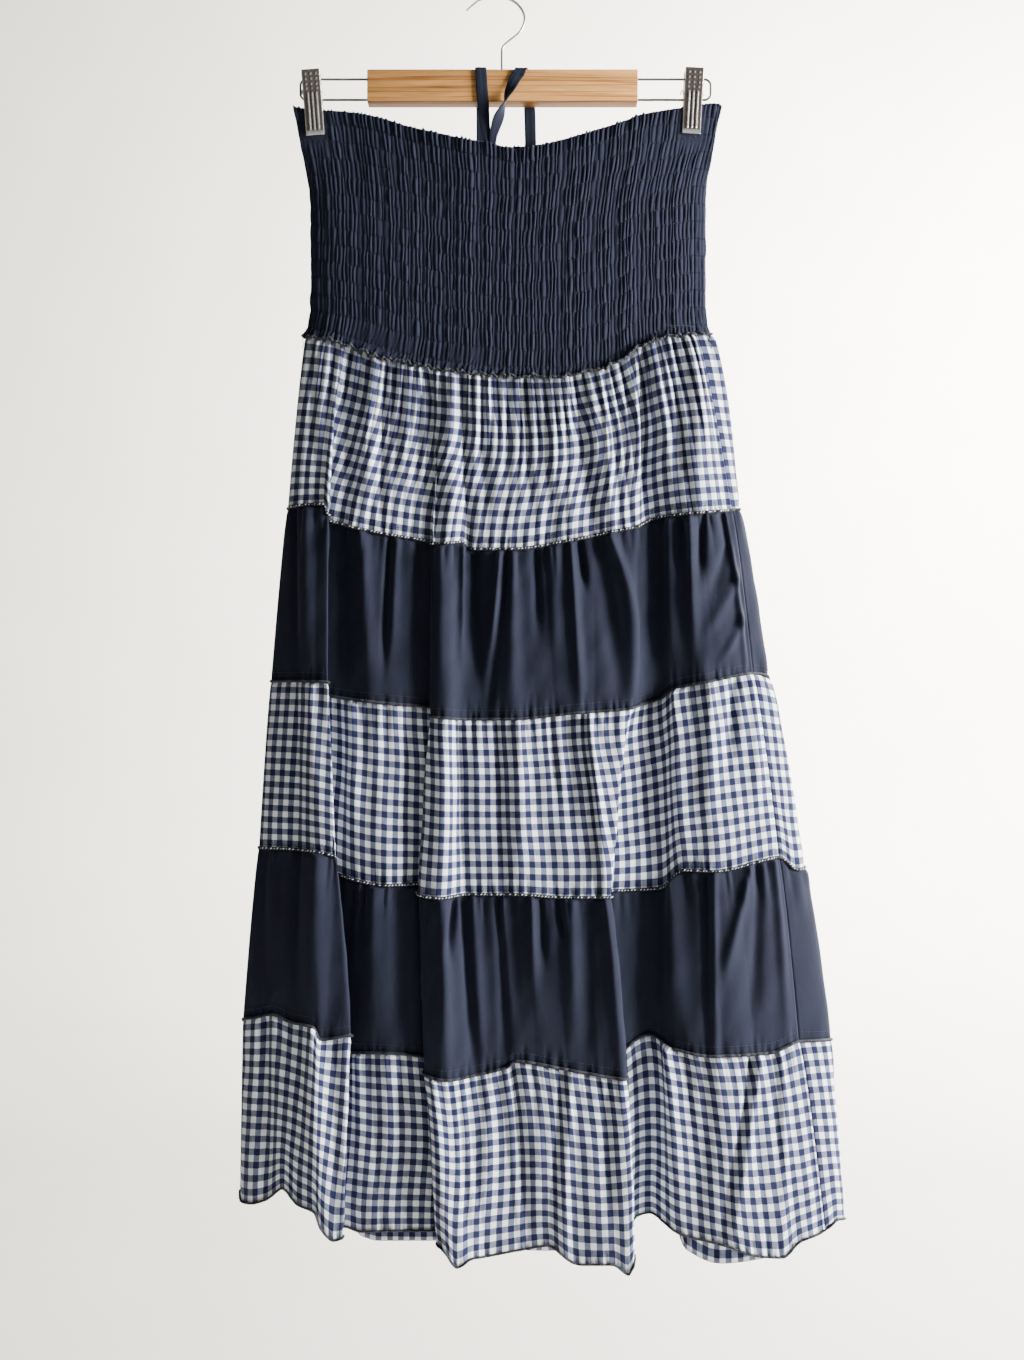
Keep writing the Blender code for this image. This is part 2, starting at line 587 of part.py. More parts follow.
def build_loop(name, bar_end, far_end):
    """Wire loop out of one end of the bar, with round corners."""
    outward_sign = 1.0 if far_end > bar_end else -1.0
    start = bar_end + outward_sign * SEAM_GAP
    points = [(start, LOOP_TOP_DROP)]
    for corner_drop, first_angle in ((LOOP_TOP_DROP + LOOP_CORNER, 90), (LOOP_BOTTOM_DROP - LOOP_CORNER, 0)):
        for step in range(LOOP_STEPS + 1):
            angle = math.radians(first_angle - step * 90 / LOOP_STEPS)
            points.append((far_end - outward_sign * LOOP_CORNER * (1 - math.cos(angle)),
                           corner_drop - LOOP_CORNER * math.sin(angle)))
    points.append((start, LOOP_BOTTOM_DROP))
    build_wire(name, [place_point(across, 0.0, drop) for across, drop in points], LOOP_WIRE)


def build_block(name, low, high, rounding, finish):
    """A block between two corners with bevelled edges."""
    shape = bmesh.new()
    made = bmesh.ops.create_cube(shape, size=1.0)
    size, middle = high - low, (high + low) / 2
    bmesh.ops.scale(shape, vec=size, verts=made["verts"])
    bmesh.ops.translate(shape, vec=middle, verts=made["verts"])
    bmesh.ops.bevel(shape, geom=shape.edges[:], offset=rounding * MM, segments=2, profile=0.5,
                    affect="EDGES", material=-1)
    return finish_mesh(name, shape, finish)


def build_bar():
    """Wooden bar."""
    low = Vector((BAR_LEFT, -BAR_THICKNESS / 2, -BAR_BOTTOM_DROP)) * MM
    high = Vector((BAR_RIGHT, BAR_THICKNESS / 2, -BAR_TOP_DROP)) * MM
    build_block("hanger_bar", low, high, BAR_ROUNDING, WOOD)


def clip_plate(clip, facing, ribbed):
    """Front or back plate of a clip: its side profile carried across its width."""
    profile = np.array(CLIP_PROFILE)
    length = profile[-1, 0]
    lean = math.atan2(clip.bottom_across - clip.top_across, length)
    turn = Matrix.Rotation(-lean, 3, "Y")
    pattern = RIB_PATTERN if ribbed else (0, 0)
    spread = np.linspace(-CLIP_WIDTH / 2, CLIP_WIDTH / 2, len(pattern))
    top = place_point(clip.top_across, 0.0, clip.top_drop)
    outer, inner = [], []
    for drop, forward in profile:
        raised = RIB_HEIGHT if RIB_TOP <= drop <= RIB_BOTTOM else 0.0
        near = [place_point(across, facing * forward, drop) for across in spread]
        far = [place_point(across, facing * (forward + CLIP_SHEET + raised * rib), drop)
               for across, rib in zip(spread, pattern)]
        outer.append([top + turn @ point for point in far])
        inner.append([top + turn @ point for point in near])
    side = "front" if facing > 0 else "back"
    thick_sheet(f"{clip.name}_{side}", outer, inner, CHROME)


def clip_spring(clip):
    """Spring housing between a clip's plates, held between the two wires of the loop."""
    middle = clip.top_across
    reach = np.interp((LOOP_TOP_DROP + LOOP_BOTTOM_DROP) / 2 - clip.top_drop,
                      *np.array(CLIP_PROFILE).T) - SEAM_GAP * 2
    top = LOOP_TOP_DROP + LOOP_WIRE / 2 + SEAM_GAP
    bottom = LOOP_BOTTOM_DROP - LOOP_WIRE / 2 - SEAM_GAP
    low = Vector((middle - SPRING_WIDTH / 2, -reach, -bottom)) * MM
    high = Vector((middle + SPRING_WIDTH / 2, reach, -top)) * MM
    build_block(f"{clip.name}_spring", low, high, SPRING_ROUNDING, CHROME)


def main():
    for thing in list(bpy.data.objects):
        bpy.data.objects.remove(thing, do_unlink=True)
    build_bodice()
    for tier in range(TIER_COUNT):
        build_tier(tier)
    build_tie("tie_left", LEFT_TIE)
    build_tie("tie_right", RIGHT_TIE)
    build_bar()
    build_hook()
    build_loop("wire_left", BAR_LEFT, LOOP_LEFT_END)
    build_loop("wire_right", BAR_RIGHT, LOOP_RIGHT_END)
    for clip in CLIPS:
        clip_plate(clip, 1.0, True)
        clip_plate(clip, -1.0, False)
        clip_spring(clip)


main()
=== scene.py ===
"""A halter dress with a shirred bodice and five gathered tiers, hung from a wooden clip hanger.

Laid out as an add-on: the sizes and colours are properties, each group of pieces is an operator,
and main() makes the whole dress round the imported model.
"""
import math
from collections import namedtuple
from functools import lru_cache, partial

import bmesh
import bpy
import numpy as np
from bpy.props import FloatProperty, FloatVectorProperty, IntProperty, PointerProperty
from mathutils import Matrix, Vector


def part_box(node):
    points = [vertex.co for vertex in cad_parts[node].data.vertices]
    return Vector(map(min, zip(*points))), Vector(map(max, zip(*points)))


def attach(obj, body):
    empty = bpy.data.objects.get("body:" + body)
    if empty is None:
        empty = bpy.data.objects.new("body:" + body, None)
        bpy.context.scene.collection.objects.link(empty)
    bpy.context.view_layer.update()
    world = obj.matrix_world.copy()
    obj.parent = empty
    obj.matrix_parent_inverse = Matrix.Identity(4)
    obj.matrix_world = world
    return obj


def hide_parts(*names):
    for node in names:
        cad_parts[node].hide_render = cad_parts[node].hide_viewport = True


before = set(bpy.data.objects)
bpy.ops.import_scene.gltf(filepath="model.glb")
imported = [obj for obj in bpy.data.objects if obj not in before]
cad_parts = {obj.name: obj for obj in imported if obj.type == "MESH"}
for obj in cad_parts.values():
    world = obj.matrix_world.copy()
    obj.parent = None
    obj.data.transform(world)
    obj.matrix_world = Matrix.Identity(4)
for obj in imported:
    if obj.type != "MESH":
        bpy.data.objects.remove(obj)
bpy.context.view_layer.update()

bl_info = {
    "name": "Halter dress on a clip hanger",
    "version": (1, 0, 0),
    "blender": (4, 5, 0),
    "location": "3D View > Sidebar > Halter dress",
    "description": "Makes a shirred and tiered cotton dress and the hanger that holds it",
    "category": "Add Mesh",
}

BODY = "root"
MM = 0.001

# The eye that the cloth's outline was read from, in millimetres
# A width or drop in the cloth's tables is the one seen in the hanger's plane from here
EYE_ACROSS = 16.0
EYE_DROP = 683.0
EYE_DISTANCE = 1335.0
HALF_VIEW = 680.0
SENSOR_HEIGHT = 24.0

# Rows of the bodice as shares of its height, and the section each takes
BODICE_LEVELS = ((0.0, 0), (0.13, 1), (0.45, 2), (0.87, 2), (1.0, 3))
TIER_COUNT = 5
FIRST_TIER_LEVEL = 3
FLARE = 0.8
TIER_SWELL = 2.5
NEAR_PLACE = 0.01
FINE_PLACES = 600
CLOTH_SEED = 7

# Folds round the tube, from the left side across the front, then back round the rear.
# Columns of "across" and "forward": top edge, under the clips, chest, waist, seams 1 to 4, hem.
Fold = namedtuple("Fold", "name across forward")
FOLDS = (
    Fold("left side", (-203, -197, -185, -190, -208, -225, -237, -253, -256),
         (0, 0, 0, 0, 0, 0, 0, 0, 0)),
    Fold("left panel", (-181, -179, -170, -174, -191, -198, -199, -213, -213),
         (3, 3, 8, 8, 12, 14, 16, 18, 20)),
    Fold("first pleat edge", (-156, -155, -151, -158, -168, -169, -161, -147, -155),
         (4, 4, 10, 10, 22, 26, 30, 32, 33)),
    Fold("first pleat under", (-138, -137, -136, -148, -176, -178, -171, -158, -165),
         (5, 5, 11, 10, 13, 15, 18, 20, 21)),
    Fold("first pleat out", (-118, -118, -118, -134, -163, -165, -158, -144, -150),
         (6, 7, 12, 11, 9, 9, 9, 10, 11)),
    Fold("middle left", (-88, -88, -91, -104, -121, -113, -111, -103, -103),
         (7, 9, 13, 12, 18, 22, 24, 26, 26)),
    Fold("second pleat under", (-66, -66, -69, -76, -60, -59, -69, -62, -52),
         (9, 10, 13, 12, 12, 13, 14, 15, 16)),
    Fold("second pleat edge", (-48, -48, -51, -60, -65, -66, -78, -72, -59),
         (9.5, 11, 13.5, 12.5, 19, 22, 25, 28, 31)),
    Fold("second pleat ridge", (-28, -28, -32, -44, -48, -48, -56, -50, -39),
         (10, 12, 14, 13, 23, 28, 32, 36, 40)),
    Fold("second pleat right", (-8, -9, -14, -24, -29, -29, -28, -18, -12),
         (11, 12, 14, 13, 16, 18, 20, 25, 30)),
    Fold("centre", (22, 20, 16, 12, 16, 16, 16, 15, 31),
         (11, 12, 14, 13, 20, 23, 26, 27, 28)),
    Fold("middle right", (64, 62, 59, 60, 76, 79, 70, 70, 74),
         (10, 12, 14, 13, 20, 24, 28, 32, 34)),
    Fold("third pleat edge", (109, 106, 102, 102, 130, 131, 113, 129, 136),
         (8, 10, 13, 12, 20, 25, 31, 37, 42)),
    Fold("third pleat under", (130, 127, 121, 122, 144, 142, 107, 120, 128),
         (7, 9, 12, 11, 15, 16, 17, 20, 24)),
    Fold("third pleat valley", (152, 149, 140, 141, 161, 164, 163, 154, 154),
         (5, 7, 11, 10, 9, 8, 8, 8, 8)),
    Fold("right panel", (197, 194, 176, 172, 199, 210, 218, 216, 242),
         (3, 3, 8, 9, 22, 26, 29, 32, 34)),
    Fold("right seam", (217, 212, 198, 200, 236, 257, 283, 303, 329),
         (1.5, 1.5, 4, 4, 10, 13, 15, 17, 18)),
    Fold("right side", (225, 219, 209, 211.5, 241, 271, 307, 334, 343),
         (-0.5, -0.5, -1, -1, 0, 0, 0, 0, 0)),
    Fold("back right", (196, 194, 179, 176, 196, 218, 240, 258, 266),
         (-3, -3, -8, -9, -12, -14, -15, -16, -17)),
    Fold("back first ridge", (130, 130, 124, 120, 135, 150, 165, 175, 182),
         (-6, -7, -10, -10, -17, -20, -23, -26, -28)),
    Fold("back first valley", (75, 75, 70, 66, 72, 80, 86, 92, 95),
         (-8, -9, -11, -11, -12, -13, -13, -14, -14)),
    Fold("back second ridge", (14, 14, 12, 10, 10, 10, 12, 14, 14),
         (-8, -9, -11, -11, -18, -22, -25, -28, -31)),
    Fold("back second valley", (-48, -48, -46, -48, -54, -60, -64, -68, -70),
         (-8, -9, -11, -11, -12, -13, -13, -14, -14)),
    Fold("back third ridge", (-112, -112, -104, -108, -116, -124, -132, -140, -146),
         (-6, -7, -10, -10, -17, -20, -22, -25, -27)),
    Fold("back left", (-179, -177, -160, -162, -176, -190, -200, -208, -212),
         (-3, -3, -8, -9, -11, -13, -14, -15, -16)),
)
SIDES = {"front": (0, 16), "back": (16, 25)}

# How far each edge hangs below the hook: pairs of place round the tube, in folds, and drop
EDGE_DROPS = {
    0: ((0, 112.5), (0.12, 110), (0.3, 112), (1, 113), (2, 114), (3, 116), (4, 120), (5, 129),
        (6, 134), (7, 138), (8, 142), (9, 145), (10, 152), (11, 143), (12, 130), (13, 123),
        (14, 116), (15, 109), (16, 106), (17, 109), (18, 112), (19, 128), (20, 142), (21, 150),
        (22, 145), (23, 130),
        (24, 114), (25, 108)),
    3: ((0, 338), (1, 341.5), (2, 345), (3, 348.5), (4, 353.5), (5, 363.5), (6, 368), (7, 371),
        (8, 373.5), (9, 375.5), (10, 378.5), (11, 379.5), (12, 372.5), (13, 364), (14, 351),
        (15, 339.5), (16, 336), (17, 337), (18, 341), (19, 353), (20, 366), (21, 372), (22, 368),
        (23, 356), (24, 343), (25, 338)),
    4: ((0, 512), (1, 508), (1.7, 507), (2, 517), (3, 521), (4, 525), (5, 535), (6, 545), (7, 547),
        (8, 546), (8.8, 545), (9.2, 552), (10, 552), (11, 543), (12, 532), (13, 528), (14, 521),
        (15, 516), (16, 513), (17, 512), (18, 516), (19, 524), (20, 530), (21, 533), (22, 530),
        (23, 524), (24, 516), (25, 512)),
    5: ((0, 684), (1, 684), (2, 685), (3, 692), (4, 699), (5, 706), (6, 711), (7, 719), (8, 721),
        (9, 722), (10, 722), (11, 716), (12, 712), (13, 708), (14, 702), (14.4, 691), (15, 685),
        (16, 676), (17, 683), (18, 688), (19, 697), (20, 703), (21, 706), (22, 704), (23, 697),
        (24, 689), (25, 684)),
    6: ((0, 850), (1, 852), (2, 859), (3, 868), (4, 877), (5, 888), (6, 886), (7, 897), (8, 901),
        (9, 897), (10, 897), (11, 900), (12, 900), (13, 894), (14, 891), (14.5, 873), (15, 874),
        (16, 860), (16.4, 872), (17, 869), (18, 872), (19, 880), (20, 886), (21, 888), (22, 886),
        (23, 878), (24, 864), (25, 850)),
    7: ((0, 1022), (0.5, 1020), (0.8, 1017), (1.14, 1025), (1.44, 1030), (1.52, 1042), (2, 1038), (3, 1048),
        (4, 1055), (5, 1056), (6, 1062), (7, 1076), (8, 1083), (9, 1077), (9.9, 1070), (10.1, 1064),
        (11, 1072), (12, 1082), (13, 1064), (14, 1037), (14.5, 1052), (15, 1059), (15.6, 1056),
        (16, 1044), (17, 1042), (18, 1046), (19, 1056), (20, 1062), (21, 1064), (22, 1062),
        (23, 1052), (24, 1037), (25, 1022)),
    8: ((0, 1193), (0.15, 1204), (0.45, 1206), (0.7, 1202), (1, 1191), (1.25, 1207), (1.5, 1215),
        (1.6, 1232), (1.8, 1243), (2, 1241), (3, 1236), (4, 1229), (4.4, 1234), (5, 1233),
        (6, 1233), (7, 1246), (7.5, 1254), (8, 1270), (8.6, 1261), (9, 1259), (10, 1251),
        (10.5, 1248), (11.2, 1267), (11.6, 1267), (11.9, 1277), (12, 1271), (13, 1240), (14, 1215),
        (14.4, 1236), (14.85, 1248), (15.25, 1259), (15.45, 1260), (15.65, 1244), (16, 1233),
        (16.3, 1222), (17, 1221), (17.5, 1240), (18, 1261), (18.5, 1266), (18.9, 1252), (18.97, 1240),
        (19.06, 1212), (19.5, 1208), (19.75, 1215), (20, 1244), (20.5, 1253), (21, 1252),
        (21.9, 1243), (22.6, 1243), (22.85, 1238), (23, 1222), (23.4, 1210), (23.7, 1193),
        (24, 1187), (24.5, 1196), (25, 1193)),
}

# Main creases of the front tiers, as seen: across and share of the height at each end,
# how far the cloth stands out there (a trough is less than nothing), and half its width
Crease = namedtuple("Crease", "top_across top_share foot_across foot_share rise width")
FRONT_CREASES = tuple(tuple(Crease(*row) for row in tier) for tier in (
    (
        (-181, 0.0, -186, 0.80, -2.0, 3.5), (-142, 0.0, -142, 0.90, -3.4, 6.0),
        (-122, 0.0, -125, 0.90, 2.4, 8.0), (-106, 0.1, -112, 1.00, -3.0, 3.5),
        (-88, 0.0, -88, 0.90, 2.0, 7.0), (-66, 0.0, -60, 1.00, -3.8, 6.0), (-46, 0.0, -42, 1.00, 2.2, 7.0),
        (-30, 0.0, -27, 1.00, -4.2, 3.0), (-20, 0.0, -17, 0.90, 1.8, 5.0), (-12, 0.1, -10, 0.90, -2.4, 5.0),
        (14, 0.0, 10, 0.70, -2.6, 4.0), (29, 0.0, 36, 0.95, -3.0, 4.0), (54, 0.0, 62, 0.80, 2.0, 6.0),
        (80, 0.0, 95, 1.00, -3.4, 7.0), (102, 0.0, 116, 1.00, 2.8, 5.0), (109, 0.0, 124, 1.00, -3.0, 3.5),
        (140, 0.0, 142, 1.00, 2.8, 5.0), (147, 0.0, 150, 1.00, -4.6, 3.5), (177, 0.0, 187, 0.90, -3.4, 4.5),
        (194, 0.0, 202, 1.00, 3.0, 8.0), (214, 0.0, 236, 1.00, -2.4, 4.0),
    ),
    (
        (-200, 0.0, -198, 1.00, -2.6, 4.0), (-188, 0.0, -187, 1.00, 2.6, 9.0),
        (-152, 0.0, -152, 1.00, -2.6, 8.0), (-132, 0.0, -126, 1.00, 3.4, 8.0),
        (-105, 0.0, -112, 0.95, -3.6, 3.5), (-98, 0.0, -104, 0.80, 1.8, 5.0),
        (-76, 0.0, -72, 1.00, -3.0, 8.0), (-54, 0.0, -56, 1.00, 2.6, 8.0), (-33, 0.0, -35, 0.80, 2.2, 4.0),
        (-22, 0.0, -20, 0.90, -3.4, 6.0), (5, 0.0, -5, 0.70, 3.4, 4.5), (10, 0.2, -8, 1.00, -2.6, 4.0),
        (18, 0.2, 16, 1.00, 2.6, 8.0), (41, 0.0, 44, 0.60, -3.4, 4.0), (58, 0.0, 62, 0.80, 1.8, 7.0),
        (75, 0.0, 87, 1.00, 3.2, 4.5), (84, 0.0, 92, 0.35, -3.4, 3.5), (101, 0.0, 128, 1.00, -3.2, 8.0),
        (113, 0.0, 142, 1.00, 3.4, 6.0), (175, 0.0, 178, 1.00, 4.6, 10.0), (185, 0.0, 186, 0.35, -3.0, 4.0),
        (195, 0.0, 200, 0.95, 3.6, 5.0), (207, 0.0, 206, 0.45, -3.2, 4.5), (236, 0.35, 205, 0.80, 2.6, 6.0),
        (228, 0.20, 214, 0.60, -2.4, 7.0), (243, 0.60, 222, 0.95, 2.4, 5.0),
        (229, 0.0, 252, 1.00, 2.2, 2.5), (234, 0.0, 257, 1.00, -2.2, 2.5),
    ),
    (
        (-200, 0.0, -198, 1.00, -2.8, 4.0), (-186, 0.0, -178, 1.00, 2.6, 9.0),
        (-157, 0.0, -155, 1.00, -2.4, 6.0), (-143, 0.0, -140, 1.00, 3.2, 9.0),
        (-110, 0.1, -104, 0.90, -1.6, 8.0), (-87, 0.0, -85, 1.00, -3.0, 9.0),
        (-52, 0.0, -52, 1.00, 2.8, 9.0), (-35, 0.0, -31, 1.00, -2.6, 3.0), (-18, 0.0, -16, 0.90, 1.6, 8.0),
        (1, 0.0, 9, 1.00, -2.8, 6.0), (24, 0.0, 26, 1.00, 2.2, 8.0), (55, 0.0, 62, 0.60, -2.2, 3.5),
        (72, 0.0, 78, 0.80, -2.2, 5.0), (88, 0.0, 103, 1.00, -3.0, 3.0), (95, 0.0, 109, 1.00, 3.0, 5.0),
        (134, 0.0, 138, 0.80, -1.4, 8.0), (183, 0.0, 186, 1.00, 5.6, 12.0), (214, 0.0, 214, 0.90, 2.0, 7.0),
        (238, 0.0, 234, 0.60, -3.0, 6.0), (256, 0.0, 262, 0.90, 2.0, 6.0), (262, 0.0, 284, 1.00, 2.0, 2.5),
        (268, 0.0, 289, 1.00, -2.2, 2.5),
    ),
    (
        (-231, 0.0, -233, 1.00, -2.8, 8.0), (-205, 0.0, -208, 1.00, 1.6, 6.0),
        (-196, 0.0, -200, 1.00, -2.2, 6.0), (-178, 0.0, -180, 1.00, 5.2, 14.0),
        (-134, 0.0, -138, 0.60, 2.4, 4.0), (-129, 0.0, -134, 0.45, -2.6, 3.5),
        (-123, 0.1, -124, 1.00, 2.8, 10.0), (-97, 0.0, -94, 1.00, -3.4, 10.0),
        (-54, 0.0, -51, 1.00, 3.6, 6.0), (-40, 0.0, -46, 0.40, -3.4, 4.0), (-22, 0.0, -14, 1.00, 2.6, 7.0),
        (-34, 0.4, -20, 1.00, -2.4, 5.0), (2, 0.0, 11, 1.00, -3.4, 4.5), (16, 0.0, 22, 0.90, -2.4, 7.0),
        (36, 0.0, 40, 0.80, 2.4, 6.0), (45, 0.0, 47, 0.50, -3.0, 4.0), (61, 0.0, 69, 0.28, -3.6, 3.5),
        (76, 0.0, 82, 0.90, 2.2, 8.0), (90, 0.2, 93, 1.00, -2.6, 8.0), (110, 0.0, 127, 1.00, 3.0, 5.0),
        (180, 0.0, 184, 1.00, 6.6, 12.0), (210, 0.0, 214, 1.00, -3.4, 5.0), (219, 0.1, 221, 1.00, 2.6, 4.5),
        (253, 0.05, 222, 0.70, 3.4, 6.0), (263, 0.0, 256, 0.90, -2.8, 7.0), (278, 0.0, 292, 1.00, 2.0, 5.0),
        (285, 0.0, 303, 1.00, 2.0, 2.5), (290, 0.0, 308, 1.00, -2.2, 2.5),
    ),
    (
        (-230, 0.0, -228, 1.00, -3.0, 8.0), (-180, 0.0, -180, 1.00, 5.0, 13.0),
        (-136, 0.0, -138, 1.00, 2.4, 8.0), (-96, 0.0, -92, 1.00, -3.2, 10.0),
        (-62, 0.0, -52, 1.00, 3.0, 8.0), (-38, 0.0, -27, 1.00, -2.0, 4.0), (-7, 0.0, -12, 1.00, 2.0, 8.0),
        (16, 0.0, 33, 1.00, -3.6, 5.0), (44, 0.1, 48, 0.90, 1.8, 8.0), (67, 0.0, 57, 1.00, -3.0, 3.5),
        (76, 0.0, 70, 1.00, 2.2, 5.0), (112, 0.0, 112, 0.90, -2.2, 7.0), (176, 0.0, 184, 1.00, 6.4, 13.0),
        (206, 0.1, 210, 0.90, -1.8, 8.0), (256, 0.0, 225, 1.00, -3.2, 3.5), (264, 0.0, 236, 1.00, 2.4, 5.0),
        (284, 0.0, 290, 1.00, 2.4, 5.0), (311, 0.0, 329, 1.00, -2.4, 3.0),
    ),
))
# Main creases of a back tier: place round the tube at the top and the foot, then as above
BackCrease = namedtuple("BackCrease", "top_place top_share foot_place foot_share rise width")
BACK_CREASES = tuple(BackCrease(*row) for row in (
    (17.4, 0.0, 17.5, 0.90, -2.6, 6.0), (18.3, 0.0, 18.2, 0.70, -2.8, 5.0),
    (19.2, 0.0, 19.4, 1.00, 2.4, 7.0), (20.4, 0.0, 20.2, 0.80, -2.4, 5.0),
    (20.9, 0.0, 20.8, 0.95, -3.0, 5.0), (21.6, 0.0, 21.8, 0.60, 2.6, 6.0),
    (22.5, 0.0, 22.4, 0.90, -2.8, 6.0), (23.3, 0.0, 23.5, 1.00, -2.4, 5.0),
    (24.1, 0.0, 24.0, 0.75, 2.4, 7.0), (24.6, 0.0, 24.6, 0.90, -2.6, 5.0),
))

# Gathers of each tier: pitch and height of the fine ones under the seam, the share of the tier
# where they have faded and what is left of them there; then pitch and height of the broad folds
Gathers = namedtuple("Gathers", "pitch height fade left broad_pitch broad_height")
TIER_GATHERS = (
    Gathers(8.5, 7.4, 0.90, 0.16, 30.0, 4.0),
    Gathers(12.0, 3.0, 0.32, 0.02, 36.0, 1.6),
    Gathers(10.0, 2.6, 0.30, 0.02, 38.0, 1.8),
    Gathers(12.0, 3.2, 0.36, 0.02, 36.0, 1.8),
    Gathers(10.0, 2.8, 0.35, 0.05, 30.0, 2.4),
)
RIDGE_ROUNDNESS = 0.75
# Least and most of the gathers' lean, height and length
GATHER_LEAN = (0.65, 1.5)
GATHER_TALL = (0.35, 1.15)
GATHER_REACH = (0.55, 1.15)
# Creases: how much they are raised, where along them they fade, and how they widen
# One that reaches the foot fades later and keeps a quarter of its height there
CREASE_GAIN = 1.7
CREASE_FADE = (0.5, 1.0)
CREASE_FOOT_FADE = (0.55, 1.1)
CREASE_SINK = 0.75
CREASE_OVERRUN = 1.3
CREASE_TOP_WIDTH = 0.7
CREASE_WIDENING = 0.6
# Broad folds: the share of the tier where they have faded, and what is left of them there
BROAD_FADE = 2.0
BROAD_LEFT = 0.6
VALLEY_WANDER = 0.24
TIER_COLUMNS = {"front": (400, 370, 370, 390, 420), "back": (220, 215, 225, 235, 250)}
TIER_ROWS = {"front": 40, "back": 22}
ROW_CROWDING = 0.62
TUCK_SHARE = -0.014
TUCK_DEPTH = 0.8
WAIST_TUCK = -1.4
GATHER_RISE_SHARE = 0.035
FOOT_PUCKER_PITCH = 7.0
FOOT_PUCKER_DEPTH = 1.8
FOOT_PUCKER_STRAY = 0.35
FOOT_PUCKER_SHARES = (0.05, 0.16)
FOOT_PUCKER_DEPTHS = (0.3, 1.2)
FOOT_PUCKER_WIDTHS = (0.2, 0.34)
CRUMPLE_HEIGHT = 0.4
CRUMPLE_WAVES = 6
CRUMPLE_LENGTH = 34.0
SIDE_FADE_REACH = 6.0
YARN = 0.00042
YARN_STIFFNESS = 0.16
CHECK_EVENING = 40.0

# Overlocked edges: radius of the rolled edge, then length, width and height of the stitches
WAIST_RADIUS = 0.0015
BAND_RADIUS = 0.0016
HEM_RADIUS = 0.0012
WRAP_SIZE = (0.0034, 0.0011, 0.0014)
DASH_SIZE = (0.0024, 0.0009, 0.0013)
TOPSTITCH_SIZE = (0.0026, 0.0006, 0.0005)
SHIRRING_SIZE = (0.0042, 0.0006, 0.0005)
WRAP_LEAN = math.radians(38)
WRAP_RISE = 0.75
# How far threads lie off the cloth; an edge sinks back to the cloth near the side seams
EDGE_LIFT = 0.0015
EDGE_LOWERED = 0.0001
TOPSTITCH_LIFT = 0.00025
SHIRRING_LIFT = 0.00005
LEAST_LIFT = 0.15
LIFT_FADE = 0.010
EDGE_TONE = 0.8
# Tiers whose foot is dashed in white
WHITE_DASHES = (0, 2)

# Threads left long at the waist: across, forward and drop of their points
LOOSE_THREADS = (
    ((168, 14.5, 331.5), (176, 14.0, 332.5), (186, 13.0, 332.0), (197, 11.0, 333.0)),
    ((211, 2.0, 337.0), (214, 2.5, 339.5), (213, 3.0, 343.0), (216, 3.0, 348.0), (215, 3.0, 352.0)),
    ((212, 1.0, 339.0), (216, 1.5, 340.0), (218, 2.0, 343.5)),
    ((-189, 2.0, 341.0), (-193, 2.5, 343.0), (-192, 3.0, 348.0), (-194, 3.0, 352.0)),
)
LOOSE_RADIUS = 0.00035
LOOSE_STEPS = 6

# Shirring on the bodice
SHIRRING_ROWS = 13
FIRST_ROW_DROP = 14.0
SHIRRING_PITCH = 17.3
LAST_ROW_DROP = FIRST_ROW_DROP + SHIRRING_PITCH * (SHIRRING_ROWS - 1)
BODICE_HEIGHT = 230.0
ROW_STEPS = (0.0, 0.06, 0.2, 0.4, 0.6, 0.8, 0.94)
BODICE_COLUMNS = {"front": 700, "back": 380}
PUCKER_PITCH = 3.9
PUCKER_HEIGHT = 2.6
PUCKER_FLOOR = -0.5
PUCKER_LEAN = (0.6, 1.6)
PUCKER_TALL_EACH = (0.1, 0.5)
PUCKER_TALL_COLUMN = (0.1, 0.6)
THREAD_STEP = 5.4
# The drawn-in cloth looks a little paler than the plain tiers
SHIRRED_TONE = 1.2
FRILL_HEIGHT = 4.0
FRILL_SCALLOP = 4.5
FRILL_SHARES = (0.0, 0.15, 0.3, 0.45, 0.6, 0.75, 0.88)
SCALLOP_REACH = 0.7
SCALLOP_MIDDLE = 0.3
ROW_HEIGHT_SHARE = 0.34
PUCKER_SWING = 0.22
PUCKER_SWELL = 0.6
FOOT_FRILL_RISE = 2.0
FOOT_FRILL_JAG = 2.6
FOOT_FRILL_STEP = 3.0
INNER_SHARES = (0.0, 0.06, 0.13, 0.24, 0.35, 0.45, 0.6, 0.75, 0.87, 0.95, 1.0)
INNER_WALL = 1.2
# Cut of the bodice and width of its cloth map, for each length that shows
BODICE_CUT = 1.35
BODICE_STRETCH = 1.5
BODICE_SEED = 100
CHEST_LEVEL = 2
# The clips press the puckers flat: reach beside the plate, and the drop where it ends and its fade
PRESS_REACH = 8.0
PRESS_DROP = 146.0
PRESS_FADE = 12.0
PRESSED_RELIEF = 0.15

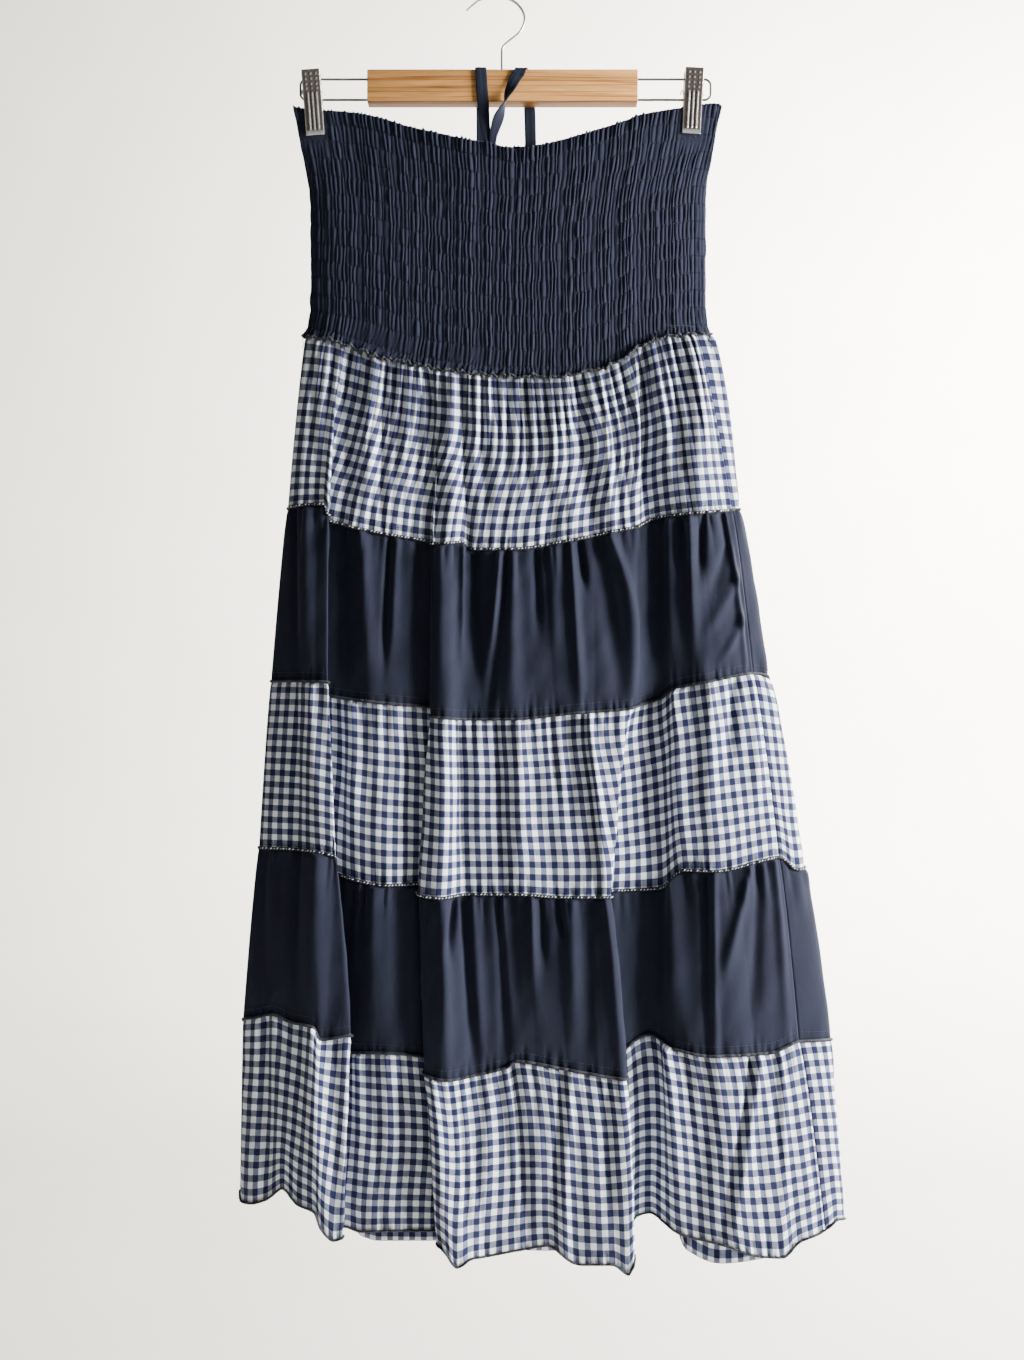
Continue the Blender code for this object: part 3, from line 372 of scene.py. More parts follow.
# Ties: flat turned tubes. Rows: across, drop, forward, turn in degrees, width
TIES = {
    "tie_left": (
        (-8.0, 166, 8.3, 0, 5.5), (-8.0, 153, 8.3, 0, 6.0), (-8.9, 143, 8.8, 0, 8.0),
        (-11.2, 130, 9.8, 0, 10.5), (-12.4, 114, 9.6, 0, 11.5), (-13.8, 96, 9.3, 0, 11.5),
        (-14.8, 79, 9.2, 0, 11.5), (-15.2, 74.4, 7.4, 0, 11.5), (-15.2, 73.9, 0.0, 0, 11.5),
        (-15.0, 74.4, -7.4, 0, 11.5), (-14.8, 79, -9.2, 0, 11.5), (-14.4, 105, -9.1, 0, 11.5),
        (-14.0, 135, -3.2, 0, 11.5), (-14.0, 165, 0.0, 0, 11.5), (-15.0, 230, 1.0, 0, 11.5),
        (-17.0, 300, 0.5, 0, 11.5), (-16.0, 380, 0.0, 0, 11.5),
    ),
    "tie_right": (
        (-2.9, 168, 8.3, 0, 5.5), (-2.8, 155, 8.3, 0, 6.0), (-2.6, 143, 9.8, 5, 8.0),
        (2.4, 127, 12.5, 25, 11.5), (8.8, 113, 14.6, 90, 11.5), (13.4, 99, 12.6, 150, 11.5),
        (19.5, 85, 9.5, 180, 11.5), (23.4, 79, 9.2, 180, 11.5), (25.0, 74.4, 7.4, 180, 11.5),
        (27.5, 73.9, 0.0, 180, 11.5), (29.5, 74.4, -7.4, 180, 11.5), (31.0, 79, -9.2, 180, 11.5),
        (33.5, 105, -9.1, 180, 11.5), (34.4, 135, -3.2, 180, 11.5), (34.6, 165, 0.0, 180, 11.5),
        (34.0, 230, 1.0, 180, 11.5), (32.0, 300, 0.5, 180, 11.5), (33.0, 395, 0.0, 180, 11.5),
    ),
}
TIE_STEPS = 7
TIE_COLUMNS = 8
TIE_CROWN = 0.35
TIE_CREASE = 0.45
TIE_CREASE_PLACE = 0.15
TIE_CREASE_WIDTH = 0.16
TIE_MAP_WIDTH = 0.006
TIE_THICKNESS = 0.0013

# Hanger
BAR_LEFT = -128.2
BAR_RIGHT = 141.3
BAR_TOP_DROP = 75.4
BAR_BOTTOM_DROP = 107.7
BAR_THICKNESS = 15.0
BAR_EDGE = 1.0
BAR_SHARP = math.radians(35)
HOOK_WIRE = 2.7
LOOP_WIRE = 2.3
LOOP_TOP_DROP = 82.5
LOOP_BOTTOM_DROP = 103.0
LOOP_LEFT_END = -195.5
LOOP_RIGHT_END = 214.5
LOOP_CORNER = 6.0
LOOP_CORNER_STEPS = 12
# Hook wire's middle line, from its free tip over the top to the bar: across, drop
HOOK_ROUTE = ((-29.0, 14.0), (-22.5, 8.0), (-15.5, 3.0), (0.0, -1.35), (15.0, 3.0), (24.5, 10.5),
              (28.8, 21.5), (24.2, 34.5), (12.0, 45.0), (6.6, 51.0), (6.0, 60.0), (6.0, 75.1))
HOOK_POINTS = 90
WIRE_BEVEL_STEPS = 6

# Clips: a plate's width, its front's distance outside the profile, and the sheet it is pressed from
CLIP_WIDTH = 18.5
CLIP_SHEET = 0.9
PLATE_SHEET = 0.0006
CLIP_TONE = 1.25
PLATE_ROWS = 66
PLATE_FACE_POINTS = 31
# Rounded corner of a plate, and how deep its side flange is at some drops
PLATE_CORNER = 0.7
PLATE_TURN = np.radians((30.0, 60.0, 90.0))
FLANGE_DROPS = (0.0, 26.0, 60.0, 65.0)
FLANGE_DEPTHS = (4.2, 3.6, 1.2, 0.8)
FLANGE_RECESS = 0.2
# Side profile of a plate: drop from its top and distance from the middle
CLIP_PROFILE = ((0.0, 7.2), (4.0, 6.8), (14.0, 5.5), (22.0, 5.0), (34.0, 4.8), (46.0, 4.5),
                (58.0, 4.5), (62.0, 4.6), (65.0, 6.0))
RIB_PLACES = (-4.3, 0.0, 4.3)
RIB_HEIGHT = 0.9
RIB_HALF_WIDTH = 1.0
RIB_TOP = 22.5
RIB_BOTTOM = 59.5
# Raised dots: drops and places, height, and radius of the whole and of its flat middle
DIMPLE_DROPS = (4.5, 9.3, 14.1, 18.6)
DIMPLE_PLACES = (-5.2, 0.0, 5.2)
DIMPLE_HEIGHT = 0.7
DIMPLE_RADIUS = 1.5
DIMPLE_FLAT = 0.4
# Spring: the holder's size for the solid's, its rounded edge, and the coil across it
HOLDER_SHARES = Vector((1.05, 0.72, 0.9))
HOLDER_EDGE = 1.6
COIL_TURNS = 6
COIL_STEPS = 14
COIL_RADIUS = 3.0
COIL_WIRE = 0.55
COIL_OVERHANG = 5.0
COIL_ASIDE = 1.5
COIL_RISE = 5.0
Clip = namedtuple("Clip", "name top_across bottom_across top_drop inner_side")
CLIPS = (Clip("clip_left", -184.7, -180.0, 75.5, 1.0), Clip("clip_right", 198.0, 194.5, 73.8, -1.0))

# Backdrop, in metres: near edge and wall, the sweep between them, half its width, and its height
BACKDROP_FRONT = -16.0
BACKDROP_BACK = 3.6
BACKDROP_SWEEP = 1.0
BACKDROP_WIDTH = 30.0
BACKDROP_HEIGHT = 5.0
BACKDROP_STEPS = 16
BACKDROP_NEAR = 1.6
BACKDROP_FAR = 3.4
WHITE = (1.0, 1.0, 1.0)
# Lights: place, where they point, size and colour
DRESS_MIDDLE = Vector((EYE_ACROSS * MM, 0.0, -EYE_DROP * MM))
WALL_MIDDLE = Vector((0.5, BACKDROP_BACK, -0.4))
LIGHTS = {
    "key": ((2.65, -0.82, -0.2), DRESS_MIDDLE, 1.2, (1.0, 0.985, 0.96)),
    "fill": ((-2.4, -2.2, -0.5), DRESS_MIDDLE, 2.2, (0.96, 0.98, 1.0)),
    "overhead": ((0.3, -0.9, 1.9), DRESS_MIDDLE, 1.8, WHITE),
    "wall": ((2.3, 1.5, 0.5), WALL_MIDDLE, 3.0, (1.0, 0.96, 0.86)),
}
SKY_COLOUR = (0.90, 0.90, 0.88, 1.0)


class DressSizes(bpy.types.PropertyGroup):
    """Sizes of the cloth and its sewing."""
    cloth: FloatProperty(name="Cloth", description="Thickness of the skirt's cotton",
                         default=0.0005, unit="LENGTH")
    check: FloatProperty(name="Check", description="One repeat of the gingham, two stripes",
                         default=0.0127, unit="LENGTH")
    fullness: FloatProperty(name="Fullness", description="Cloth cut for each length that shows at a foot",
                            default=1.2)
    overlock_pitch: FloatProperty(name="Overlock pitch", description="Length of an overlock stitch",
                                  default=0.0034, unit="LENGTH")
    topstitch_pitch: FloatProperty(name="Top stitch", description="Length of a top stitch",
                                   default=0.0032, unit="LENGTH")
    topstitch_height: FloatProperty(name="Top stitch height", default=0.0085, unit="LENGTH",
                                    description="From the seam to its top stitching")
    seed: IntProperty(name="Seed", description="Start of the uneven gathers", default=CLOTH_SEED)


class DressColours(bpy.types.PropertyGroup):
    """Colours of the cloth and the hanger."""
    navy: FloatVectorProperty(name="Navy", description="Plain cotton", subtype="COLOR",
                              default=(0.0080, 0.0102, 0.0228))
    white: FloatVectorProperty(name="White", description="Undyed yarn of the gingham", subtype="COLOR",
                               default=(0.84, 0.88, 0.90))
    half: FloatVectorProperty(name="Half", description="Check where dyed yarn crosses undyed",
                              subtype="COLOR", default=(0.095, 0.112, 0.195))
    dark: FloatVectorProperty(name="Dark", description="Check where dyed yarns cross", subtype="COLOR",
                              default=(0.0085, 0.011, 0.046))
    wood: FloatVectorProperty(name="Wood", description="Bar", subtype="COLOR", default=(0.60, 0.295, 0.09))
    metal: FloatVectorProperty(name="Metal", description="Wire and clips", subtype="COLOR",
                               default=(0.60, 0.59, 0.57))


class StudioSettings(bpy.types.PropertyGroup):
    """Light and floor."""
    key: FloatProperty(name="Key", description="Soft light from the right", default=440.0, unit="POWER")
    fill: FloatProperty(name="Fill", description="Soft light from the left", default=1.0, unit="POWER")
    overhead: FloatProperty(name="Overhead", description="Soft light from above", default=4.0, unit="POWER")
    wall: FloatProperty(name="Wall", description="Soft light on the backdrop", default=1020.0, unit="POWER")
    sky: FloatProperty(name="Sky", description="Strength of the pale surroundings", default=0.11)
    floor_drop: FloatProperty(name="Floor", description="How far the floor is below the hook",
                              default=1.75, unit="LENGTH")


def settle(across, forward, drop):
    """Bring points seen in the hanger's plane to their own depth, as places in metres."""
    nearer = 1.0 - forward / EYE_DISTANCE
    x = EYE_ACROSS + (across - EYE_ACROSS) * nearer
    z = EYE_DROP + (drop - EYE_DROP) * nearer
    return np.stack((x, -forward, -z), axis=-1) * MM


def place_point(across, forward, drop):
    """A point of the hanger's frame, in millimetres, as a place in metres."""
    return Vector((across * MM, -forward * MM, -drop * MM))


def monotone(knots, values, at):
    """Smooth curve through values at rising knots, which never swings past them."""
    knots = np.asarray(knots, dtype=float)
    values = np.asarray(values, dtype=float).reshape(len(knots), -1)
    at = np.atleast_1d(np.asarray(at, dtype=float))
    step = np.diff(knots)[:, None]
    rise = np.diff(values, axis=0) / step
    slope = np.zeros_like(values)
    slope[0] = rise[0]
    slope[-1] = rise[-1]
    before, after = rise[:-1], rise[1:]
    same_way = before * after > 0
    total = np.where(same_way, before + after, 1.0)
    slope[1:-1] = np.where(same_way, 2 * before * after / total, 0.0)
    index = np.clip(np.searchsorted(knots, at, side="right") - 1, 0, len(knots) - 2)
    share = ((at - knots[index])[:, None]) / step[index]
    squared, cubed = share ** 2, share ** 3
    return ((2 * cubed - 3 * squared + 1) * values[index] + (3 * squared - 2 * cubed) * values[index + 1]
            + ((cubed - 2 * squared + share) * slope[index] + (cubed - squared) * slope[index + 1])
            * step[index])


def spline(before, start, end, after, share):
    """Smooth curve from start to end, as bent by the keys on either side."""
    return 0.5 * (2 * start + (end - before) * share
                  + (2 * before - 5 * start + 4 * end - after) * share ** 2
                  + (3 * start - before - 3 * end + after) * share ** 3)


def ring_curve(keys, places):
    """Smooth closed curve through a ring of keys, at places counted in keys."""
    count = len(keys)
    index = np.floor(places).astype(int)
    share = (places - index)[:, None]
    return spline(*(keys[(index + shift) % count] for shift in (-1, 0, 1, 2)), share)


def open_curve(keys, places):
    """Smooth curve through an open row of keys, at places counted in keys."""
    keys = np.asarray(keys, dtype=float)
    padded = np.vstack((2 * keys[0] - keys[1], keys, 2 * keys[-1] - keys[-2]))
    index = np.clip(np.floor(places).astype(int), 0, len(keys) - 2)
    share = (places - index)[:, None]
    return spline(*(padded[index + shift] for shift in (0, 1, 2, 3)), share)


def edge_drop(level, places):
    """Drop of one edge or seam round the tube."""
    table = np.array(EDGE_DROPS[level], dtype=float)
    return monotone(table[:, 0], table[:, 1], places)[:, 0]


def fold_keys(level):
    """Across and forward of every fold at one level."""
    return np.array([(fold.across[level], fold.forward[level]) for fold in FOLDS], dtype=float)


def ring_outward(keys, places):
    """Normal of the ring's smooth curve at given places."""
    along = ring_curve(keys, places + NEAR_PLACE) - ring_curve(keys, places - NEAR_PLACE)
    along /= np.linalg.norm(along, axis=1)[:, None]
    return np.column_stack((-along[:, 1], along[:, 0]))


def bodice_keys(share):
    """Folds of the bodice at a share of its height."""
    shares = [row[0] for row in BODICE_LEVELS]
    levels = np.array([fold_keys(row[1]).ravel() for row in BODICE_LEVELS])
    return monotone(shares, levels, share)[0].reshape(-1, 2)


def tier_keys(tier, share):
    """Folds of a tier at a share of its height, with the cloth swelling between its seams."""
    level = FIRST_TIER_LEVEL + tier
    share = min(max(share, 0.0), 1.0)
    upper, lower = fold_keys(level), fold_keys(level + 1)
    keys = upper + (lower - upper) * share ** FLARE
    keys[:, 1] += np.sign(keys[:, 1]) * TIER_SWELL * math.sin(math.pi * share)
    return keys


def run_along(plan):
    """Length along a row of points, from its first point."""
    steps = np.linalg.norm(np.diff(plan, axis=0), axis=1)
    return np.concatenate(((0.0,), np.cumsum(steps)))


def even_places(keys, first, last, count):
    """Places that part a section into equal lengths."""
    fine = np.linspace(first, last, FINE_PLACES)
    length = run_along(ring_curve(keys, fine))
    return np.interp(np.linspace(0, length[-1], count + 1), length, fine)


def seen_place(level, across):
    """Place round the front where the foremost cloth is at this width, at one level."""
    fine = np.linspace(*SIDES["front"], FINE_PLACES)
    plan = ring_curve(fold_keys(level), fine)
    offset = plan[:, 0] - across
    crossings = np.nonzero(offset[:-1] * offset[1:] <= 0)[0]
    if not len(crossings):
        return fine[np.argmin(np.abs(offset))]
    return fine[crossings[np.argmax(plan[crossings, 1])]]


def bell(distance, width):
    """Soft bump: one in the middle, next to nothing two widths away."""
    return np.exp(-(distance / width) ** 2)


def soft_step(value, low, high):
    """Nothing below the low value, one above the high one, smooth between."""
    share = np.clip((value - low) / (high - low), 0.0, 1.0)
    return share * share * (3.0 - 2.0 * share)


def crumple(random, run, drops):
    """Shallow uneven dents over a piece, from a few slanting waves."""
    dents = np.zeros_like(run)
    for _ in range(CRUMPLE_WAVES):
        angle = random.uniform(-0.9, 0.9)
        length = CRUMPLE_LENGTH * random.uniform(0.6, 1.6)
        phase = random.uniform(0.0, 2 * math.pi)
        bend = random.uniform(0.6, 1.4) * np.sin(drops / (2.1 * length) + phase)
        slant = run * math.cos(angle) + drops * math.sin(angle)
        dents += np.sin(slant * 2 * math.pi / length + phase + bend)
    return dents / math.sqrt(CRUMPLE_WAVES)


Surface = namedtuple("Surface", "points outward run share height places relief")


def lay_surface(plan, outward, drops, relief, run, shares, height, places):
    """Points of a panel in metres with their outward directions, from its plan and relief."""
    moved = plan + outward * relief[..., None]
    points = settle(moved[..., 0], moved[..., 1], drops)
    directions = np.stack((outward[..., 0], -outward[..., 1], np.zeros_like(relief)), axis=-1)
    return Surface(points, directions, run, shares, height, places, relief)


def crease_relief(creases, level, side, places, run, shares):
    """Relief of the main creases placed one by one."""
    relief = np.zeros_like(run)
    for crease in creases:
        if side == "front":
            ends = (seen_place(level, crease.top_across), seen_place(level + 1, crease.foot_across))
        else:
            ends = (crease.top_place, crease.foot_place)
        span = (shares - crease.top_share) / (crease.foot_share - crease.top_share)
        span = np.clip(span, 0.0, CREASE_OVERRUN)
        middle = ends[0] + (ends[1] - ends[0]) * span
        centre = np.array([np.interp(place, places, row) for place, row in zip(middle, run)])
        if crease.foot_share >= 1.0:
            fade = 1.0 - CREASE_SINK * soft_step(span, *CREASE_FOOT_FADE)
        else:
            fade = 1.0 - soft_step(span, *CREASE_FADE)
        width = crease.width * (CREASE_TOP_WIDTH + CREASE_WIDENING * span)
        relief += CREASE_GAIN * crease.rise * fade[:, None] * bell(run - centre[:, None], width[:, None])
    return relief


def ridge_profile(bounds, tall, skew, along):
    """Heights along a row of rounded ridges that lean a little and meet in narrow valleys."""
    ridge = np.clip(np.searchsorted(bounds, along, side="right") - 1, 0, len(tall) - 1)
    inside = np.clip((along - bounds[ridge]) / (bounds[ridge + 1] - bounds[ridge]), 0.0, 1.0)
    return tall[ridge] * np.sin(math.pi * inside ** skew[ridge]) ** RIDGE_ROUNDNESS


def uneven_bounds(random, lines, count):
    """Valleys of a row of ridges on each line across them, as shares of the row."""
    bounds = np.arange(count + 1) + random.uniform(-VALLEY_WANDER, VALLEY_WANDER, count + 1)
    bounds = np.sort(bounds + random.uniform(-VALLEY_WANDER, VALLEY_WANDER, (lines, count + 1)), axis=1)
    bounds[:, 0], bounds[:, -1] = 0.0, count
    return bounds / count


def gather_relief(random, pitch, height, fade, left, run, shares):
    """Relief of the gathers: ridges that spread, lean and sink on their way down."""
    count = max(int(run[0, -1] / pitch), 1)
    ends = uneven_bounds(random, 2, count)
    skew = random.uniform(*GATHER_LEAN, count)
    tall = height * random.uniform(*GATHER_TALL, count)
    reach = fade * random.uniform(*GATHER_REACH, count)
    relief = np.zeros_like(run)
    for index, share in enumerate(np.maximum(shares, 0.0)):
        bounds = ends[0] * (1.0 - share) + ends[1] * share
        sunk = tall * (1.0 - (1.0 - left) * soft_step(share / reach, 0.05, 1.0))
        relief[index] = ridge_profile(bounds, sunk, skew, run[index] / run[index, -1]) - 0.5 * sunk.mean()
    return relief


def foot_puckers(random, run, shares):
    """Relief of the short puckers that the seam's stitching draws up above it."""
    relief = np.zeros_like(run)
    count = int(run[-1, -1] / FOOT_PUCKER_PITCH)
    for index in range(count):
        centre = (index + 0.5 + random.uniform(-FOOT_PUCKER_STRAY, FOOT_PUCKER_STRAY)) / count
        length = random.uniform(*FOOT_PUCKER_SHARES)
        depth = FOOT_PUCKER_DEPTH * random.uniform(*FOOT_PUCKER_DEPTHS)
        width = FOOT_PUCKER_PITCH * random.uniform(*FOOT_PUCKER_WIDTHS)
        fade = soft_step(shares, 1.0 - length, 1.0)
        relief -= depth * fade[:, None] * bell(run - centre * run[:, -1:], width)
    return relief


def side_fade(run):
    """One over a panel's middle, falling to nothing at its two side seams."""
    return soft_step(np.minimum(run, run[:, -1:] - run), 0.0, SIDE_FADE_REACH)


def cloth_random(number, side):
    """Random numbers of one panel, the same in each run."""
    return np.random.default_rng(bpy.context.scene.dress_sizes.seed + number + (side == "back"))


def follow_folds(sections, places):
    """Plan, outward directions and running length of a panel's rows, from the folds at each row."""
    plan = np.array([ring_curve(keys, places) for keys in sections])
    outward = np.array([ring_outward(keys, places) for keys in sections])
    run = np.array([run_along(row) for row in plan])
    return plan, outward, run


@lru_cache(maxsize=None)
def tier_surface(tier, side):
    """Finished outer surface of one panel of a tier."""
    level = FIRST_TIER_LEVEL + tier
    count = TIER_COLUMNS[side][tier]
    places = even_places(tier_keys(tier, 0.5), *SIDES[side], count)
    even = np.linspace(0.0, 1.0, TIER_ROWS[side] + 1)
    shares = even - ROW_CROWDING * np.sin(2 * math.pi * even) / (2 * math.pi)
    shares = np.concatenate(((TUCK_SHARE,), shares))
    upper, lower = edge_drop(level, places), edge_drop(level + 1, places)
    drops = upper + (lower - upper) * shares[:, None]
    plan, outward, run = follow_folds([tier_keys(tier, share) for share in shares], places)
    random = cloth_random(10 * tier, side)
    fold = TIER_GATHERS[tier]
    creases = FRONT_CREASES[tier] if side == "front" else BACK_CREASES
    relief = crease_relief(creases, level, side, places, run, np.maximum(shares, 0.0))
    relief += gather_relief(random, fold.pitch, fold.height, fold.fade, fold.left, run, shares)
    relief += gather_relief(random, fold.broad_pitch, fold.broad_height, BROAD_FADE, BROAD_LEFT, run, shares)
    relief += foot_puckers(random, run, shares)
    relief *= side_fade(run)
    relief += CRUMPLE_HEIGHT * crumple(random, run, drops) * side_fade(run)
    sewn = np.full(count + 1, WAIST_TUCK)
    if tier:
        above = tier_surface(tier - 1, side)
        sewn = np.interp(places, above.places, above.relief[-1]) - TUCK_DEPTH
    risen = soft_step(shares, TUCK_SHARE, GATHER_RISE_SHARE)[:, None]
    relief = relief * risen + sewn * (1.0 - risen)
    height = float(np.mean(lower - upper))
    return lay_surface(plan, outward, drops, relief, run, shares, height, places)


def clip_press(across, drop):
    """How much of the puckers is left under the clips, which press them flat."""
    left = np.ones_like(across)
    for clip in CLIPS:
        middle = (clip.top_across + clip.bottom_across) / 2
        beside = np.clip((np.abs(across - middle) - CLIP_WIDTH / 2) / PRESS_REACH, 0.0, 1.0)
        below = np.clip((drop - PRESS_DROP) / PRESS_FADE, 0.0, 1.0)
        left = np.minimum(left, np.maximum(beside, below))
    return left


def bodice_rows():
    """Distances of the bodice's mesh rows from its top edge, close together at each stitched row."""
    frill = [FIRST_ROW_DROP * share for share in FRILL_SHARES]
    stitched = [FIRST_ROW_DROP + SHIRRING_PITCH * (row + step)
                for row in range(SHIRRING_ROWS - 1) for step in ROW_STEPS]
    foot = np.linspace(LAST_ROW_DROP, BODICE_HEIGHT, 4)
    return np.array(frill + stitched + list(foot))


def pucker_relief(random, rows, run):
    """Relief of the shirring: ridges swell between the stitched rows and shift at each of them."""
    stitched = FIRST_ROW_DROP + SHIRRING_PITCH * np.arange(SHIRRING_ROWS)
    lines = np.concatenate(((0.0,), stitched, (BODICE_HEIGHT,)))
    gaps = len(lines) - 1
    count = int(run[:, -1].mean() / PUCKER_PITCH)
    bounds = uneven_bounds(random, gaps + 1, count)
    swing = random.uniform(-PUCKER_SWING, PUCKER_SWING, (gaps, count + 1)) / count
    tall = random.uniform(*PUCKER_TALL_EACH, (gaps, count)) + random.uniform(*PUCKER_TALL_COLUMN, count)
    skew = random.uniform(*PUCKER_LEAN, (gaps, count))
    relief = np.zeros_like(run)
    for index, distance in enumerate(rows):
        gap = min(int(np.searchsorted(lines, distance, side="right")) - 1, gaps - 1)
        share = (distance - lines[gap]) / (lines[gap + 1] - lines[gap])
        swell = math.sin(math.pi * share) ** PUCKER_SWELL if share < 1.0 else 0.0
        between = bounds[gap] * (1.0 - share) + bounds[gap + 1] * share + swing[gap] * swell
        if (gap == 0 and share < 0.5) or (gap == gaps - 1 and share > 0.5):
            swell = 1.0
        peak = FRILL_HEIGHT if gap == 0 else PUCKER_HEIGHT
        heights = peak * (tall[gap] * swell + ROW_HEIGHT_SHARE * (1.0 - swell))
        relief[index] = ridge_profile(np.sort(between), heights, skew[gap], run[index] / run[index, -1])
    return relief + PUCKER_FLOOR


def bodice_plan(side, shares):
    """Places, drops, plan, outward directions and running length of a bodice panel's rows."""
    places = even_places(fold_keys(CHEST_LEVEL), *SIDES[side], BODICE_COLUMNS[side])
    top, waist = edge_drop(0, places), edge_drop(FIRST_TIER_LEVEL, places)
    drops = top + (waist - top) * shares[:, None]
    return places, drops, *follow_folds([bodice_keys(share) for share in shares], places)


@lru_cache(maxsize=None)
def bodice_surface(side):
    """Finished outer surface of one bodice panel."""
    rows = bodice_rows()
    shares = rows / BODICE_HEIGHT
    places, drops, plan, outward, run = bodice_plan(side, shares)
    random = cloth_random(BODICE_SEED, side)
    relief = pucker_relief(random, rows, run)
    scallop = soft_step(-rows, -SCALLOP_REACH * FIRST_ROW_DROP, 0.0)[:, None]
    drops = drops - FRILL_SCALLOP * scallop * (relief / FRILL_HEIGHT - SCALLOP_MIDDLE) * side_fade(run)
    foot = soft_step(rows, LAST_ROW_DROP, BODICE_HEIGHT)[:, None]
    steps = np.arange(0.0, run[-1, -1] + FOOT_FRILL_STEP, FOOT_FRILL_STEP)
    jags = np.interp(run[-1], steps, random.uniform(-1.0, 1.0, len(steps)))
    drops = drops + FOOT_FRILL_JAG * foot * jags
    relief = relief + FOOT_FRILL_RISE * foot * (1.0 + 0.5 * jags[::-1])
    relief = PRESSED_RELIEF + (relief - PRESSED_RELIEF) * clip_press(plan[..., 0], drops)
    return lay_surface(plan, outward, drops, relief, run, shares, BODICE_HEIGHT, places)


@lru_cache(maxsize=None)
def bodice_lining(side):
    """Plain inside of a bodice panel, with the same columns as its outside."""
    shares = np.array(INNER_SHARES)
    places, drops, plan, outward, run = bodice_plan(side, shares)
    relief = np.full(run.shape, -INNER_WALL)
    return lay_surface(plan, outward, drops, relief, run, shares, BODICE_HEIGHT, places)


class Recipe:
    """A material's nodes, laid down one by one from its shader outwards."""

    def __init__(self, name):
        self.material = bpy.data.materials.new(name)
        self.material.use_nodes = True
        self.tree = self.material.node_tree
        self.shader = self.tree.nodes["Principled BSDF"]
        self.place = self.node("TexCoord").outputs["Object"]

    def node(self, kind, inputs=None, **settings):
        """Add a node, and set or link its inputs."""
        made = self.tree.nodes.new("ShaderNode" + kind)
        for name, value in settings.items():
            setattr(made, name, value)
        for key, value in (inputs or {}).items():
            self.feed(made.inputs[key], value)
        return made

    def feed(self, socket, value):
        """Link an output to a socket, or set its value."""
        if isinstance(value, bpy.types.NodeSocket):
            self.tree.links.new(value, socket)
        else:
            socket.default_value = value

    def look(self, **sockets):
        """Feed the shader's own sockets, named with underscores for spaces."""
        for name, value in sockets.items():
            self.feed(self.shader.inputs[name.replace("_", " ")], value)

    def worked(self, operation, first, second=0.0, third=0.0, clamp=False):
        """Result of a math node."""
        inputs = {0: first, 1: second, 2: third}
        return self.node("Math", inputs, operation=operation, use_clamp=clamp).outputs[0]

    def parts(self, vector):
        """Outputs with the three parts of a vector."""
        return self.node("SeparateXYZ", {"Vector": vector}).outputs

    def darkened(self, colour, shade):
        """One colour times another."""
        inputs = {"Factor": 1.0, 6: colour, 7: shade}
        return self.node("Mix", inputs, data_type="RGBA", blend_type="MULTIPLY").outputs[2]

    def noise(self, vector, scale, detail=2.0, roughness=0.5):
        """Value of a noise texture."""
        return self.node("TexNoise", {"Vector": vector, "Scale": scale, "Detail": detail,
                                      "Roughness": roughness}).outputs["Fac"]

    def stretched(self, vector, scale):
        """A vector scaled along its own axes."""
        return self.node("Mapping", {"Vector": vector, "Scale": scale}).outputs["Vector"]

    def ramp(self, value, stops):
        """Colour from a value, by stops of position and colour."""
        made = self.node("ValToRGB", {"Fac": value})
        elements = made.color_ramp.elements
        while len(elements) < len(stops):
            elements.new(0.5)
        for element, (position, colour) in zip(elements, stops):
            element.position = position
            element.color = (*colour, 1.0)
        return made.outputs["Color"]

    def bump(self, height, strength, distance, normal=None):
        """Normal from a height in metres."""
        made = self.node("Bump", {"Height": height, "Strength": strength, "Distance": distance})
        if normal is not None:
            self.feed(made.inputs["Normal"], normal)
        return made.outputs["Normal"]


def toned(colour, factor):
    """A colour made lighter or darker."""
    return tuple(min(channel * factor, 1.0) for channel in colour)


def weave_height(recipe, cloth_map):
    """Over-and-under of a plain weave on the cloth's own map, from nothing to one."""
    turns = [recipe.worked("SINE", recipe.worked("MULTIPLY", part, math.pi / YARN))
             for part in recipe.parts(cloth_map)[:2]]
    return recipe.worked("MULTIPLY_ADD", recipe.worked("MULTIPLY", turns[0], turns[1]), 0.5, 0.5)


def finish_cloth(recipe, cloth_map, height, sheen, sheen_tint):
    """Bump, roughness and sheen shared by every cotton."""
    dents = recipe.noise(recipe.stretched(recipe.place, (1.0, 1.0, 0.55)), 95.0, 4.0, 0.55)
    slubs = recipe.noise(recipe.stretched(cloth_map, (1.0, 0.12, 1.0)), 900.0, 2.0)
    uneven = recipe.bump(dents, 0.35, 0.0011)
    threads = recipe.worked("ADD", height, recipe.worked("MULTIPLY", slubs, 0.7))
    recipe.look(Normal=recipe.bump(threads, 0.35, 0.00016, uneven),
                Roughness=recipe.worked("MULTIPLY_ADD", dents, 0.12, 0.80),
                Specular_IOR_Level=0.2,
                Sheen_Weight=sheen,
                Sheen_Roughness=0.5,
                Sheen_Tint=(*sheen_tint, 1.0))


def row_shade(recipe, cloth_map):
    """Painted shade: a dark line along each shirring row, where the thread draws the cloth into a pinch."""
    down = recipe.worked("MULTIPLY", recipe.parts(cloth_map)["Y"], -1.0)
    start = 0.5 - FIRST_ROW_DROP / SHIRRING_PITCH
    turns = recipe.worked("MULTIPLY_ADD", down, 1 / (SHIRRING_PITCH * MM), start)
    apart = recipe.worked("ABSOLUTE", recipe.worked("SUBTRACT", recipe.worked("FRACT", turns), 0.5))
    return recipe.ramp(apart, ((0.02, (0.34, 0.34, 0.38)), (0.08, WHITE)))


